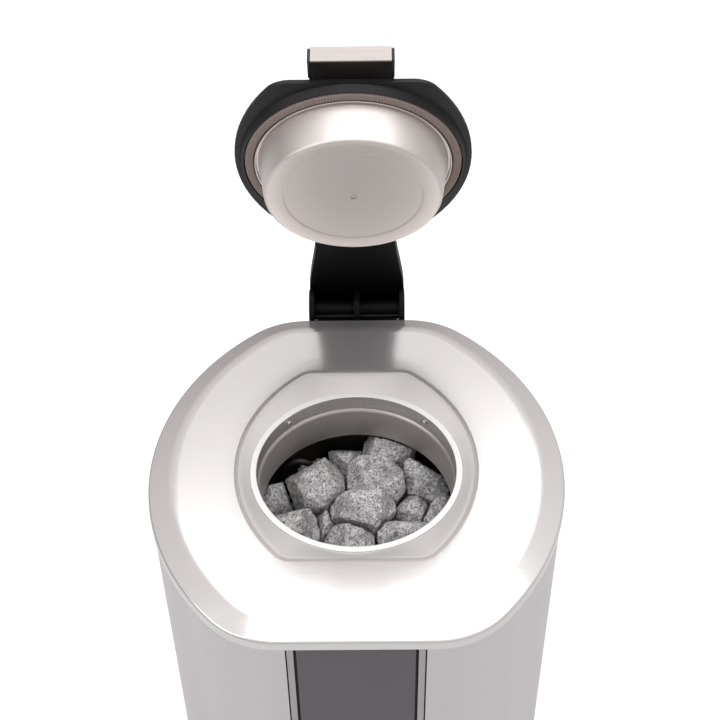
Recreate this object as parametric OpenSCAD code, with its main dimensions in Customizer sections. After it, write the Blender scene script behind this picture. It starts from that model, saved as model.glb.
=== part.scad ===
// Floor-standing sauna heater stove with a hinged, insulated lid, shown with the lid open.
// The origin lies on the floor under the middle of the stone chamber; -Y is the front.

/* [Body] */
// Width of the stove
body_w = 500; // [440:5:600]
// Front of the stove, from the chamber's axis
body_front = 251; // [235:1:300]
// Back of the stove, from the chamber's axis
body_back = 269; // [255:1:300]
// Height of the top plate over the floor
body_h = 800; // [760:5:950]
// How much the gently bowed sides' radius is more than the distance of the back
side_over = 49; // [30:1:150]
// Radius of the four upright corners
corner_r = 106; // [80:1:120]
// Thickness of the casing and of the top plate
sheet_t = 1.5; // [1:0.1:2]

/* [Top plate] */
// Width of the bevel round the plate
bevel_w = 31; // [20:1:40]
// Fall of the bevel
bevel_drop = 12; // [6:0.5:18]
// Height of the lip under the bevel
lip_h = 12.8; // [8:0.2:20]
// Fall of the plate from the bevel to the lid seat
plate_fall = 3.3; // [1:0.1:5]
// Depth of the lid seat, from its fold to the ledge
seat_depth = 6.3; // [4:0.1:9]
// Half width of the lid seat
seat_half_w = 141.5; // [138:0.5:150]
// Front of the lid seat, from the chamber's axis
seat_front = 142.3; // [138:0.1:150]
// Back of the lid seat, from the chamber's axis
seat_back = 157.9; // [150:0.1:170]
// Radius of the lid seat's bowed sides
seat_side_r = 199.6; // [190:0.2:230]
// Radius of the lid seat's corners
seat_corner_r = 25.7; // [15:0.1:35]

/* [Neck] */
// Radius of the hole in the ledge
hole_r = 120.6; // [112:0.2:126]
// Width of the ledge on which the gasket lies
ledge_w = 7.5; // [5:0.5:10]
// Thickness of the ledge
ledge_t = 2.7; // [2:0.1:4]
// Height of the neck ring
ring_h = 30; // [26:1:40]
// Step from the neck ring in to the sleeve
sleeve_step = 3.4; // [3:0.1:6]
// Depth of the step below the ledge
step_depth = 20.4; // [16:0.2:22]
// Height of the bead round the sleeve's top
bead_h = 3.6; // [2:0.2:5]
// Depth of the sleeve's lower edge below the ledge
sleeve_depth = 66.6; // [55:0.2:80]
// Radius of the neck screws' heads
neck_head_r = 3.6; // [2:0.1:4]
// Height of the neck screws' heads
neck_head_h = 2.8; // [1:0.1:4]
// Number of neck screws
neck_screws_n = 4; // [3:1:8]

/* [Stone chamber] */
// How much wider the stone chamber is than the hole, on each side
tank_room = 13.4; // [8:0.2:24]
// Height of the control room, from the casing's lower edge to the deck
room_h = 215.8; // [196:0.2:260]
// Thickness of the chamber's wall
tank_t = 2; // [1.5:0.1:3]
// Drop from the chamber's ceiling to the sleeve's lower edge
ceiling_gap = 4; // [2:0.5:8]
// Height of the grate that carries the stones
grate_h = 28; // [20:1:40]
// Thickness of the grate
grate_t = 3; // [2:0.5:5]
// Width of the grate's slots
grate_slot = 9; // [6:1:14]
// Number of slots in the grate
grate_slots_n = 9; // [5:2:11]
// Air gap between the chamber and the heat shield
shield_gap = 10; // [7:0.5:14]
// Thickness of the heat shield
shield_t = 1.2; // [0.8:0.1:2]
// Thickness of the board under the chamber
board_t = 40; // [25:1:60]
// Thickness of the deck plate
deck_t = 2; // [1.5:0.5:4]

/* [Stones] */
// Gap between the stones
stone_gap = 0.5; // [0.3:0.1:1.5]
// Number of layers below the top one
stone_layers_n = 4; // [2:1:5]
// How much the stones' places stray from their rings
stone_stray = 9; // [0:1:14]

/* [Heating elements] */
// Radius of the elements' tube
tube_r = 4.25; // [3:0.25:5]
// Distance between an element's two legs
leg_gap = 38; // [30:1:44]
// Distance of each element's middle from the chamber's wall
loop_in = 21; // [18:0.5:26]
// Depth of the elements' crowns below the ledge
crown_depth = 80; // [76:1:100]
// Number of elements
loops_n = 3; // [2:1:4]
// Length of the elements' ends below the deck
cold_end = 26; // [20:1:40]
// Radius of the terminal studs
stud_r = 2; // [1.5:0.25:3]
// Length of the terminal studs
stud_l = 12; // [8:1:20]

/* [Front panel] */
// How far the trims end inside the flat part of the front
panel_in = 10.8; // [8:0.1:20]
// Width of each trim
trim_w = 7.5; // [5:0.5:12]
// Gap between the trims and the panel
trim_gap = 3; // [1:0.5:5]
// How far the trims stand out of the casing
trim_proud = 1.2; // [0.5:0.1:3]
// Lower edge of the panel over the floor
panel_z = 96; // [90:1:130]
// Lap of the carrier behind the casing
carrier_lap = 7; // [4:0.5:10]

/* [Controls] */
// Depth of the knob's axis below the deck
knob_drop = 53.8; // [40:0.2:70]
// Radius of the knob
knob_r = 18; // [14:0.5:22]
// Height of the knob
knob_h = 15; // [10:0.5:20]
// Radius of the thermostat's spindle
spindle_r = 3; // [2:0.5:4]
// Distance of the main switch below the knob
switch_drop = 50; // [44:1:60]
// Distance of the reset button below the main switch
reset_drop = 42; // [36:1:50]
// Radius of the reset button
reset_r = 4; // [3:0.5:6]
// Travel of the reset button
reset_travel = 2.5; // [1:0.5:4]
// Tilt of the rocker to each side
rocker_tilt = 10; // [6:1:14]

/* [Base] */
// Height of the casing's lower edge over the floor
casing_z = 60; // [50:1:80]
// How far the plinth stands back from the casing
plinth_in = 26; // [15:1:40]
// Radius of the feet
foot_r = 20; // [14:1:26]
// Height of the feet's pads
foot_h = 12; // [8:1:16]
// Distance of the feet from the axis, as a share of the casing's width
foot_share = 0.3; // [0.24:0.01:0.33]

/* [Service cover] */
// Width of the cover at the back
cover_w = 120; // [100:1:126]
// Height of the cover
cover_h = 150; // [120:1:180]
// Radius of the supply cable's hole in the gland
gland_bore_r = 8; // [5:0.5:10]

/* [Lid] */
// Half width of the lid
lid_half_w = 140.3; // [132:0.1:141]
// Front of the lid, from the chamber's axis
lid_front = 136.4; // [132:0.1:141]
// Back of the lid, from the chamber's axis
lid_back = 155.1; // [146:0.1:157]
// Radius of the lid's bowed sides
lid_side_r = 194.2; // [186:0.2:230]
// Radius of the lid's corners
lid_corner_r = 31.4; // [20:0.2:45]
// Height of the lid's lower edge over the ledge
lid_edge_z = 10.4; // [10:0.1:14]
// Height of the lid's upright rim
lid_rim_h = 4.5; // [3:0.1:10]
// Rise of the lid's crown over its rim
crown_rise = 29; // [20:0.5:40]
// Thickness of the lid's shell
shell_t = 3; // [2:0.5:4]
// Outside radius of the gasket
gasket_r = 128; // [124:0.2:128]
// Width of the gasket
gasket_w = 10.2; // [8:0.2:12]
// Depth of the pan's floor below the ledge
pan_depth = 45.7; // [30:0.1:50]
// Draft of the pan's wall, from its rim in to its bottom
pan_draft = 12.4; // [8:0.1:20]
// Gap between the gasket and the pan's rim
pan_gap = 1.2; // [0.5:0.1:3]
// Width of the groove between the pan's wall and its rolled edge
pan_groove_w = 3.2; // [2:0.1:5]
// Depth of that groove
pan_groove_d = 4; // [2:0.5:8]
// Thickness of the pan
pan_t = 1.2; // [0.8:0.1:2]
// Width of the plain margin round the pressed circle
emboss_in = 22.2; // [14:0.1:40]
// Depth of that circle
emboss_d = 0.8; // [0.4:0.1:1.2]

/* [Handle] */
// Width of the handle
handle_w = 96; // [80:1:120]
// Height of the handle's front
handle_h = 20.5; // [16:0.5:26]
// How far the handle stands out of the lid
handle_out = 25.5; // [20:0.5:34]
// Thickness of the handle's sheet
handle_t = 2; // [1.5:0.5:3]
// Thickness of the handle's end caps
handle_cap_t = 3; // [2:0.5:5]
// Height of the handle's lower edge over the ledge
handle_z = 19.4; // [17:0.1:22]

/* [Hinge] */
// Distance of the hinge's axis behind the chamber's axis
hinge_y = 301.4; // [298:0.1:320]
// Depth of the hinge's axis below the ledge
hinge_depth = 9.8; // [6:0.1:14]
// Angle between the open and the closed lid
open_angle = 73.3; // [60:0.1:85]
// Half width of the hinge
hinge_half_w = 64.6; // [56:0.2:66]
// Thickness of the bracket's lugs
lug_t = 7; // [5:0.5:9]
// Radius of the lugs' round ends
lug_r = 26; // [22:0.5:26]
// Radius of the hinge shaft
shaft_r = 5; // [4:0.5:6]
// Radius of the arm's barrels round the shaft
barrel_r = 11.2; // [8:0.2:12]
// Thickness of the arm's hood over the lugs
hood_t = 8.4; // [6:0.2:10]
// Half width of the arm where it leaves the lid
arm_half_w = 51; // [44:0.5:54]
// Gap between the arm and the top plate
arm_gap = 2.4; // [1.5:0.1:4]
// Height of the bracket
bracket_h = 92; // [80:1:120]

/* [Hidden] */

// Clearance between seated pieces
seat_gap = 0.3;
// Clearance between a turning piece and its bore
run_gap = 0.05;
// Overrun of every cut
cut = 1;
// Steps of the drawn curves
side_steps = 12;
corner_steps = 9;
flat_steps = 8;
round_steps = 4;

side_r = body_back + side_over;
tank_r = hole_r + tank_room;
pan_rim_r = gasket_r - gasket_w - pan_gap;
pan_floor_r = pan_rim_r - pan_draft;
emboss_r = pan_floor_r - emboss_in;
// Places that follow the casing and the chamber
front_flat = body_w / 2 - side_r
    + sqrt(pow(side_r - corner_r, 2) - pow(body_front - corner_r, 2));
panel_half_w = front_flat - panel_in;
foot_place = body_w * foot_share;
loop_r = tank_r - loop_in;

// Heights over the floor
plate_rise = plate_fall + seat_depth;
rim_z = body_h - plate_rise;
bevel_angle = atan2(bevel_drop, bevel_w);
bevel_z = body_h - bevel_drop;
lip_z = bevel_z - lip_h;
fold_z = rim_z + seat_depth;
deck_z = casing_z + room_h;
board_z = deck_z + deck_t + seat_gap;
tank_floor_z = board_z + board_t + seat_gap + tank_t;
grate_z = tank_floor_z + grate_h + seat_gap;
knob_z = deck_z - knob_drop;
switch_z = knob_z - switch_drop;
reset_z = switch_z - reset_drop;
ceiling_z = rim_z - sleeve_depth + ceiling_gap;

function arc(c, r, a0, a1, n) =
    [for (i = [0 : n]) c + r * [cos(a0 + (a1 - a0) * i / n), sin(a0 + (a1 - a0) * i / n)]];

// A quarter outline from the side's middle, round the corner, to the middle of the end
function quarter(half_w, side, depth, corner) = let (
        side_x = half_w - side,
        corner_x = side_x + sqrt(pow(side - corner, 2) - pow(depth - corner, 2)),
        turn = atan2(depth - corner, corner_x - side_x),
        bowed = arc([side_x, 0], side, 0, turn, side_steps),
        bend = arc([corner_x, depth - corner], corner, turn, 90, corner_steps))
    concat([for (i = [0 : side_steps - 1]) bowed[i]], bend,
        [for (i = [1 : flat_steps]) [corner_x * (1 - i / flat_steps), depth]]);

// The whole outline, run from the right over the back to the left and over the front
function outline(half_w, side, front, back, corner) = let (
        b = quarter(half_w, side, back, corner),
        f = quarter(half_w, side, front, corner),
        n = len(b))
    concat(b, [for (i = [n - 2 : -1 : 0]) [-b[i].x, b[i].y]],
        [for (i = [1 : n - 1]) [-f[i].x, -f[i].y]],
        [for (i = [n - 2 : -1 : 1]) [f[i].x, -f[i].y]]);

function body_outline(inset) = outline(body_w / 2 - inset, side_r - inset,
    body_front - inset, body_back - inset, corner_r - inset);
function seat_outline(inset) = outline(seat_half_w - inset, seat_side_r - inset,
    seat_front - inset, seat_back - inset, seat_corner_r - inset);
function lid_outline(inset) = outline(lid_half_w - inset, lid_side_r - inset,
    lid_front - inset, lid_back - inset, lid_corner_r - inset);
function onto_circle(points, r) =
    [for (p = points) let (a = atan2(p.y, p.x)) [r * cos(a), r * sin(a)]];
function at_height(points, z) = [for (p = points) [p.x, p.y, z]];

// A skin through rings of equally many points; a loop of rings is closed on itself
module loft(rings, loop = false) {
    n = len(rings[0]);
    m = len(rings);
    sides = [for (j = [0 : m - (loop ? 1 : 2)], i = [0 : n - 1])
        let (k = (j + 1) % m, h = (i + 1) % n)
        each [[j * n + i, k * n + h, j * n + h], [j * n + i, k * n + i, k * n + h]]];
    caps = loop ? [] : [[for (i = [0 : n - 1]) i], [for (i = [n - 1 : -1 : 0]) (m - 1) * n + i]];
    polyhedron([for (r = rings) each r], concat(sides, caps));
}

// A sheet bent to an outline, between two heights
module skirt(outer, inner, z0, z1) {
    translate([0, 0, z0])
        linear_extrude(z1 - z0)
            difference() {
                polygon(outer);
                polygon(inner);
            }
}

// A copy on the side that the signs give
module mirrored(sx, sy) {
    mirror([sx < 0 ? 1 : 0, 0, 0]) mirror([0, sy < 0 ? 1 : 0, 0]) children();
}

module ring_of(n, r, turn = 0) {
    for (i = [0 : n - 1]) rotate([0, 0, turn + i * 360 / n]) translate([r, 0, 0]) children();
}

module tube(r_out, r_in, h) {
    difference() {
        cylinder(h = h, r = r_out, $fn = 96);
        translate([0, 0, -cut]) cylinder(h = h + 2 * cut, r = r_in, $fn = 96);
    }
}

// A box given by its middle in X, its near face in Y and its foot
module block(size, y, z) {
    translate([-size.x / 2, y, z]) cube(size);
}

// Casing and its base

casing_in = sheet_t + seat_gap;
casing_front_y = -(body_front - casing_in);
casing_back_y = body_back - casing_in;
casing_inner = casing_in + sheet_t;
casing_top_z = bevel_z - sheet_t - 2 * seat_gap - sheet_t;
slot_half_w = panel_half_w + sheet_t;
panel_top_z = lip_z + lip_h / 6;
cover_rise = 30;
cover_z = casing_z + cover_rise;

cover_lap = 10;
cover_screw_in = 6;
casing_screw_r = 2;

module casing() {
    color("silver")
        difference() {
            skirt(body_outline(casing_in), body_outline(casing_inner), casing_z, casing_top_z);
            translate([-slot_half_w, -body_front - cut, panel_z])
                cube([2 * slot_half_w, cut + casing_inner + cut, panel_top_z - panel_z]);
            block([cover_w - 2 * cover_lap, 4 * sheet_t, cover_h - 2 * cover_lap],
                casing_back_y - 2 * sheet_t, cover_z + cover_lap);
            cover_screw_places()
                cylinder(h = 4 * sheet_t, r = casing_screw_r + seat_gap, center = true, $fn = 32);
            bracket_screw_places()
                cylinder(h = 4 * sheet_t, r = bracket_screw_r + seat_gap, center = true, $fn = 32);
        }
}

module cover_screw_places() {
    for (sx = [-1, 1], sz = [-1, 1])
        translate([sx * (cover_w / 2 - cover_screw_in), casing_back_y, cover_z + cover_h / 2 + sz
            * (cover_h / 2 - cover_screw_in)])
            rotate([-90, 0, 0]) children();
}

module service_cover() {
    color("silver")
        difference() {
            block([cover_w, sheet_t, cover_h], casing_back_y + seat_gap, cover_z);
            cover_screw_places()
                cylinder(h = 8 * sheet_t, r = casing_screw_r + seat_gap, center = true, $fn = 32);
            gland_place()
                cylinder(h = 8 * sheet_t, r = gland_thread_r + seat_gap, center = true, $fn = 48);
        }
}

cover_head_r = 4;
cover_head_h = 2.4;
cover_screw_l = 9;

module cover_screws() {
    color("dimgray")
        cover_screw_places() {
            translate([0, 0, sheet_t + 2 * seat_gap])
                cylinder(h = cover_head_h, r = cover_head_r, $fn = 32);
            translate([0, 0, sheet_t + 2 * seat_gap - cover_screw_l])
                cylinder(h = cover_screw_l, r = casing_screw_r, $fn = 32);
        }
}

gland_wall = 3;
gland_shoulder = 5;
gland_thread_r = gland_bore_r + gland_wall;
gland_hex_r = gland_thread_r + gland_shoulder;
gland_thread_l = 16;
gland_collar_h = 6;
gland_dome_h = 14;
gland_dome_r = gland_thread_r + gland_shoulder / 2;
gland_nut_h = 5;
gland_z_place = cover_z + cover_h / 4;

module gland_place() {
    translate([0, casing_back_y + sheet_t + 2 * seat_gap, gland_z_place]) rotate([-90, 0, 0])
        children();
}

module cable_gland() {
    color("dimgray")
        gland_place()
            difference() {
                union() {
                    cylinder(h = gland_collar_h, r = gland_hex_r, $fn = 6);
                    translate([0, 0, -gland_thread_l])
                        cylinder(h = gland_thread_l + gland_collar_h, r = gland_thread_r, $fn = 64);
                    cylinder(h = gland_collar_h + gland_dome_h, r = gland_dome_r, $fn = 64);
                }
                translate([0, 0, -gland_thread_l - cut])
                    cylinder(h = gland_thread_l + gland_collar_h + gland_dome_h + 2 * cut,
                        r = gland_bore_r, $fn = 64);
            }
}

module gland_nut() {
    color("gray")
        gland_place()
            translate([0, 0, -sheet_t - 2 * seat_gap - gland_nut_h])
                difference() {
                    cylinder(h = gland_nut_h, r = gland_hex_r, $fn = 6);
                    translate([0, 0, -cut])
                        cylinder(h = gland_nut_h + 2 * cut, r = gland_thread_r + run_gap, $fn = 64);
                }
}

pan_flange_h = 15;
base_t = 2;
base_in = casing_inner + seat_gap;
foot_stem_r = 5;
foot_stem_l = 62;
foot_nut_r = 9.5;
foot_nut_h = 5;

module base_pan() {
    color("gray")
        difference() {
            union() {
                translate([0, 0, casing_z]) linear_extrude(base_t) polygon(body_outline(base_in));
                skirt(body_outline(base_in), body_outline(base_in + base_t), casing_z, casing_z
                    + pan_flange_h);
            }
            foot_places() translate([0, 0, -cut])
                cylinder(h = body_h / 4, r = foot_stem_r + seat_gap, $fn = 48);
        }
}

module foot_places() {
    for (sx = [-1, 1], sy = [-1, 1]) translate([sx * foot_place, sy * foot_place, 0]) children();
}

module plinth() {
    color("dimgray")
        skirt(body_outline(plinth_in), body_outline(plinth_in + base_t), 0, casing_z - seat_gap);
}

module feet() {
    color("black")
        foot_places() {
            cylinder(h = foot_h, r = foot_r, $fn = 64);
            cylinder(h = foot_h + foot_stem_l, r = foot_stem_r, $fn = 48);
        }
}

module foot_nuts() {
    color("silver")
        foot_places() {
            translate([0, 0, casing_z - seat_gap - foot_nut_h])
                hex_nut(foot_nut_r, foot_stem_r + run_gap, foot_nut_h);
            translate([0, 0, casing_z + base_t + seat_gap])
                hex_nut(foot_nut_r, foot_stem_r + run_gap, foot_nut_h);
        }
}

module hex_nut(r_out, r_in, h) {
    difference() {
        cylinder(h = h, r = r_out, $fn = 6);
        translate([0, 0, -cut]) cylinder(h = h + 2 * cut, r = r_in, $fn = 48);
    }
}

// Top plate

edge_r = 2.5;
bevel_soft = 3;
fold_soft = 4;
dish_edge_drop = 1;
lap_z = rim_z - ledge_t - seat_gap;
dish_r = hole_r + ledge_w + seat_gap;
lap_r = hole_r + sheet_t + seat_gap;

// The plate's outer skin, from the lip's lower edge over the bevel into the lid seat
function plate_skin() = let (
        middle_z = bevel_z + edge_r * tan(bevel_angle) - edge_r / cos(bevel_angle))
    concat([at_height(body_outline(0), lip_z)],
        [for (i = [0 : round_steps]) let (a = (90 - bevel_angle) * i / round_steps)
            at_height(body_outline(edge_r * (1 - cos(a))), middle_z + edge_r * sin(a))],
        [at_height(body_outline(bevel_w - bevel_soft), body_h - bevel_soft * tan(bevel_angle)),
        at_height(body_outline(bevel_w), body_h - bevel_soft * tan(bevel_angle) / 4),
        at_height(body_outline(bevel_w + bevel_soft), body_h),
        at_height(seat_outline(-fold_soft), fold_z + fold_soft * tan(bevel_angle) / 4),
        at_height(seat_outline(0), fold_z),
        at_height(onto_circle(seat_outline(0), dish_r), rim_z - dish_edge_drop),
        at_height(onto_circle(seat_outline(0), dish_r), lap_z),
        at_height(onto_circle(seat_outline(0), lap_r), lap_z)]);

// The same skin's underside, run back to the lip
function plate_back() = [at_height(onto_circle(seat_outline(0), lap_r), lap_z - sheet_t),
    at_height(onto_circle(seat_outline(0), dish_r + sheet_t), lap_z - sheet_t),
    at_height(onto_circle(seat_outline(0), dish_r + sheet_t), rim_z - dish_edge_drop - sheet_t),
    at_height(seat_outline(0), fold_z - sheet_t),
    at_height(seat_outline(-fold_soft), fold_z + fold_soft * tan(bevel_angle) / 4 - sheet_t),
    at_height(body_outline(bevel_w + bevel_soft), body_h - sheet_t),
    at_height(body_outline(bevel_w), body_h - bevel_soft * tan(bevel_angle) / 4 - sheet_t),
    at_height(body_outline(sheet_t), bevel_z + sheet_t * tan(bevel_angle) - sheet_t / cos(bevel_angle)),
    at_height(body_outline(sheet_t), lip_z)];

module top_plate() {
    color("whitesmoke") loft(concat(plate_skin(), plate_back()), true);
}

// Neck

sleeve_r = hole_r - sleeve_step;
sleeve_out_r = sleeve_r + sheet_t;
neck_shank_r = 1.9;
neck_shank_l = 7;
neck_screw_z = rim_z - step_depth / 2;

module neck_screw_holes() {
    translate([0, 0, neck_screw_z])
        ring_of(neck_screws_n, hole_r, 45)
            rotate([0, 90, 0])
                cylinder(h = 3 * neck_shank_l, r = neck_shank_r + seat_gap, center = true, $fn = 32);
}

module neck_ring() {
    color("gainsboro")
        difference() {
            rotate_extrude($fn = 128)
                polygon([[hole_r, rim_z], [hole_r, rim_z - ring_h], [hole_r + sheet_t, rim_z - ring_h],
                    [hole_r + sheet_t, rim_z - ledge_t], [hole_r + ledge_w, rim_z - ledge_t],
                        [hole_r + ledge_w, rim_z]]);
            neck_screw_holes();
        }
}

module neck_sleeve() {
    top = rim_z - step_depth;
    bead_out = hole_r - seat_gap;
    color("darkgray")
        rotate_extrude($fn = 128)
            polygon([[sleeve_r, top - bead_h], [sleeve_r, rim_z - sleeve_depth],
                [sleeve_out_r, rim_z - sleeve_depth], [sleeve_out_r, top - bead_h - sheet_t],
                [bead_out, top - bead_h - sheet_t], [bead_out, top - bead_h / 6],
                [bead_out - sheet_t / 4, top], [bead_out - sheet_t / 2, top - bead_h / 6],
                [sleeve_r + sheet_t / 2, top - 2 * bead_h / 3]]);
}

module neck_screws() {
    color("white")
        translate([0, 0, neck_screw_z])
            ring_of(neck_screws_n, hole_r - seat_gap - neck_head_h, 45)
                rotate([0, 90, 0]) {
                    cylinder(h = neck_head_h, r = neck_head_r, $fn = 32);
                    cylinder(h = neck_head_h + neck_shank_l, r = neck_shank_r, $fn = 32);
                }
}

// Stone chamber, its heat shield and its stand

tank_out_r = tank_r + tank_t;
shield_r = tank_out_r + shield_gap;
shield_out_r = shield_r + shield_t;
capillary_r = 1.2;
capillary_x = 20;
capillary_y = -sqrt(pow((tank_out_r + shield_r) / 2, 2) - pow(capillary_x, 2));
bulb_r = 3;
bulb_l = 90;
bulb_rise = 120;
bulb_z = tank_floor_z + bulb_rise;

module leg_places() {
    for (i = [0 : loops_n - 1])
        rotate([0, 0, i * 90])
            for (s = [-1, 1]) translate([loop_x + s * leg_gap / 2, loop_y, 0]) children();
}

module stone_chamber() {
    color("dimgray")
        difference() {
            rotate_extrude($fn = 128)
                polygon([[0, tank_floor_z - tank_t], [tank_out_r, tank_floor_z - tank_t],
                    [tank_out_r, ceiling_z + sheet_t],
                    [sleeve_out_r + seat_gap, ceiling_z + sheet_t],
                        [sleeve_out_r + seat_gap, ceiling_z],
                    [tank_r, ceiling_z], [tank_r, tank_floor_z], [0, tank_floor_z]]);
            leg_places() translate([0, 0, tank_floor_z - 2 * tank_t])
                cylinder(h = 4 * tank_t, r = tube_r + seat_gap, $fn = 32);
        }
}

module stone_grate() {
    r = tank_r - seat_gap;
    grate_field_r = loop_r - 2 * tube_r - grate_slot;
    pitch = 2 * (grate_field_r - grate_slot) / (grate_slots_n - 1);
    color("gray")
        translate([0, 0, tank_floor_z + seat_gap])
            difference() {
                cylinder(h = grate_h, r = r, $fn = 96);
                translate([0, 0, -cut])
                    cylinder(h = grate_h + cut - grate_t, r = r - grate_t, $fn = 96);
                for (i = [0 : grate_slots_n - 1]) {
                    x = (i - (grate_slots_n - 1) / 2) * pitch;
                    reach = sqrt(max(cut, pow(grate_field_r, 2) - pow(x, 2)));
                    translate([x - grate_slot / 2, -reach, grate_h / 2])
                        cube([grate_slot, 2 * reach, grate_h]);
                }
                leg_places() cylinder(h = 2 * grate_h, r = tube_r + 2 * seat_gap, $fn = 32);
            }
}

module heat_shield() {
    color("silver") translate([0, 0, deck_z + deck_t + seat_gap])
        tube(shield_out_r, shield_r, ceiling_z - deck_z - deck_t);
}

module side_insulation() {
    z0 = deck_z + deck_t + seat_gap;
    color("khaki")
        difference() {
            translate([0, 0, z0])
                linear_extrude(lap_z - ring_h - z0)
                    difference() {
                        polygon(body_outline(casing_inner + seat_gap));
                        circle(r = shield_out_r + seat_gap, $fn = 128);
                        translate([-carrier_half_w - seat_gap, -body_front])
                            square([2 * (carrier_half_w + seat_gap), body_front + carrier_y + carrier_t
                                + seat_gap]);
                    }
            bracket_screw_places()
                cylinder(h = 4 * bracket_screw_l, r = bracket_screw_r + seat_gap, center = true,
                    $fn = 32);
        }
}

module base_board() {
    color("beige")
        difference() {
            translate([0, 0, board_z]) cylinder(h = board_t, r = tank_out_r, $fn = 128);
            leg_places() translate([0, 0, board_z - cut])
                cylinder(h = board_t + 2 * cut, r = tube_r + seat_gap, $fn = 32);
        }
}

module deck_plate() {
    color("silver")
        difference() {
            translate([0, 0, deck_z]) linear_extrude(deck_t)
                polygon(body_outline(casing_inner + seat_gap));
            leg_places() translate([0, 0, deck_z - cut])
                cylinder(h = deck_t + 2 * cut, r = tube_r + seat_gap, $fn = 32);
            translate([capillary_x, capillary_y, deck_z - cut])
                cylinder(h = deck_t + 2 * cut, r = bulb_r + seat_gap, $fn = 32);
            block([2 * (carrier_half_w + seat_gap), body_front + carrier_y + carrier_t + seat_gap, 3
                * deck_t], -body_front, deck_z - deck_t);
        }
}

leg_angle_w = 25;
leg_angle_t = 2.5;
leg_angle_place = 108;

module chamber_legs() {
    z0 = casing_z + base_t + seat_gap;
    color("gray")
        for (sx = [-1, 1], sy = [-1, 1])
            translate([0, 0, z0])
                linear_extrude(deck_z - seat_gap - z0)
                    mirrored(sx, sy)
                        difference() {
                            translate([leg_angle_place - leg_angle_w, leg_angle_place - leg_angle_w])
                                square(leg_angle_w);
                            translate([leg_angle_place - leg_angle_w - leg_angle_t,
                                leg_angle_place - leg_angle_w - leg_angle_t])
                                square(leg_angle_w);
                        }
}

// Heating elements: hairpins that stand in the stones

loop_turn = 132;
loop_x = loop_r * cos(loop_turn);
loop_y = loop_r * sin(loop_turn);
crown_z = rim_z - crown_depth;
cold_z = deck_z - cold_end;
bush_h = 8;
element_nut_r = 8;
element_nut_h = 5;

module heating_elements() {
    legs_h = crown_z - leg_gap / 2 - cold_z;
    color("dimgray")
        for (i = [0 : loops_n - 1])
            rotate([0, 0, i * 90]) {
                for (s = [-1, 1]) translate([loop_x + s * leg_gap / 2, loop_y, cold_z])
                    cylinder(h = legs_h, r = tube_r, $fn = 32);
                translate([loop_x, loop_y, crown_z - leg_gap / 2])
                    rotate([90, 0, 0]) rotate_extrude(angle = 180, $fn = 64) translate([leg_gap / 2, 0])
                        circle(r = tube_r, $fn = 32);
            }
}

module element_nuts() {
    color("silver")
        leg_places() translate([0, 0, deck_z - seat_gap - element_nut_h])
            hex_nut(element_nut_r, tube_r + run_gap, element_nut_h);
}

module element_terminals() {
    color("white")
        leg_places() {
            translate([0, 0, cold_z - seat_gap - bush_h]) cylinder(h = bush_h, r = tube_r, $fn = 32);
            translate([0, 0, cold_z - seat_gap - bush_h - stud_l])
                cylinder(h = stud_l + bush_h, r = stud_r, $fn = 32);
        }
}

// Stones: each one is the room nearest its own place, cut back from its neighbours,
// from the heating elements and from the wall, with a few corners struck off

stone_r = tank_r - 2 * seat_gap;
stone_floor = grate_z + seat_gap;
// Places of the top stones, as shares of the chamber's radius, with their tops' depths as
// shares of the sleeve's depth, the way each top leans, as shares of a level length, and how
// much more room than its neighbours each one takes, as a share of a layer
top_stone_shares = [
    [-0.36, 0.36, 0.98, [-0.10, -0.30], 0.20], [0.03, 0.78, 1.34, [0.10, -0.20], -0.12],
    [0.24, 0.74, 1.04, [0.16, -0.40], 0.02], [0.16, 0.36, 0.98, [0.04, -0.12], 0.26],
    [0.63, 0.46, 1.12, [-0.12, -0.30], 0.04], [0.03, 0.06, 0.92, [-0.06, -0.16], 0.22],
    [0.50, 0.12, 1.22, [0.10, -0.16], -0.02], [0.78, 0.01, 1.26, [0.20, 0.00], 0.02],
    [0.42, -0.26, 1.10, [0.15, 0.00], 0.06], [-0.08, -0.28, 1.08, [0.00, -0.06], 0.05],
    [-0.56, -0.10, 1.08, [-0.10, -0.10], 0.06], [-0.28, -0.04, 1.24, [0.00, -0.20], -0.06],
    [-0.84, 0.24, 1.20, [-0.25, -0.10], -0.02], [-0.34, -0.68, 1.25, [0.00, 0.15], 0.00],
    [0.16, -0.70, 1.22, [0.10, 0.10], 0.00], [0.63, -0.58, 1.28, [0.10, 0.10], 0.00],
    [0.86, 0.36, 1.62, [0.10, 0.10], 0.00], [-0.50, 0.82, 1.70, [0.10, -0.10], 0.00]];
chips_n = 9;
draws_n = 40;
seed_drop = 38;
inner_ring_n = 4;
outer_ring_n = 8;
inner_ring_r = tank_r * 0.34;
outer_ring_r = tank_r * 0.78;
// Half height of a stone in the layers below, as a share of the pile's height
stone_layer_share = 0.2316;
pile_h = rim_z - sleeve_depth - seed_drop - stone_floor;
stone_layer = pile_h * stone_layer_share;
first_layer_z = stone_floor + pile_h - stone_layer;

// A stone's seed: its place, and the extra room that it takes on each side
top_seeds = [for (s = top_stone_shares) [s[0] * tank_r, s[1] * tank_r,
    rim_z - s[2] * sleeve_depth - seed_drop, s[4] * stone_layer / 2]];
function place(seed) = [seed.x, seed.y, seed.z];
function layer_seeds(k) = let (
        n = inner_ring_n + outer_ring_n,
        stray = rands(-stone_stray, stone_stray, 3 * n, 20 + k),
        z = first_layer_z - k
            * (first_layer_z - stone_floor - stone_layer / 2) / max(1, stone_layers_n - 1))
    [for (i = [0 : n - 1]) let (
        inner = i < inner_ring_n,
        a = inner ? (i + k / 2) * 360 / inner_ring_n : (i + k / 2) * 360 / outer_ring_n,
        r = inner ? inner_ring_r : outer_ring_r)
        [r * cos(a) + stray[3 * i], r * sin(a) + stray[3 * i + 1], z + stray[3 * i + 2], 0]];
function below(k) = k < stone_layers_n ? layer_seeds(k) : [];

function unit(v) = v / norm(v);
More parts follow.
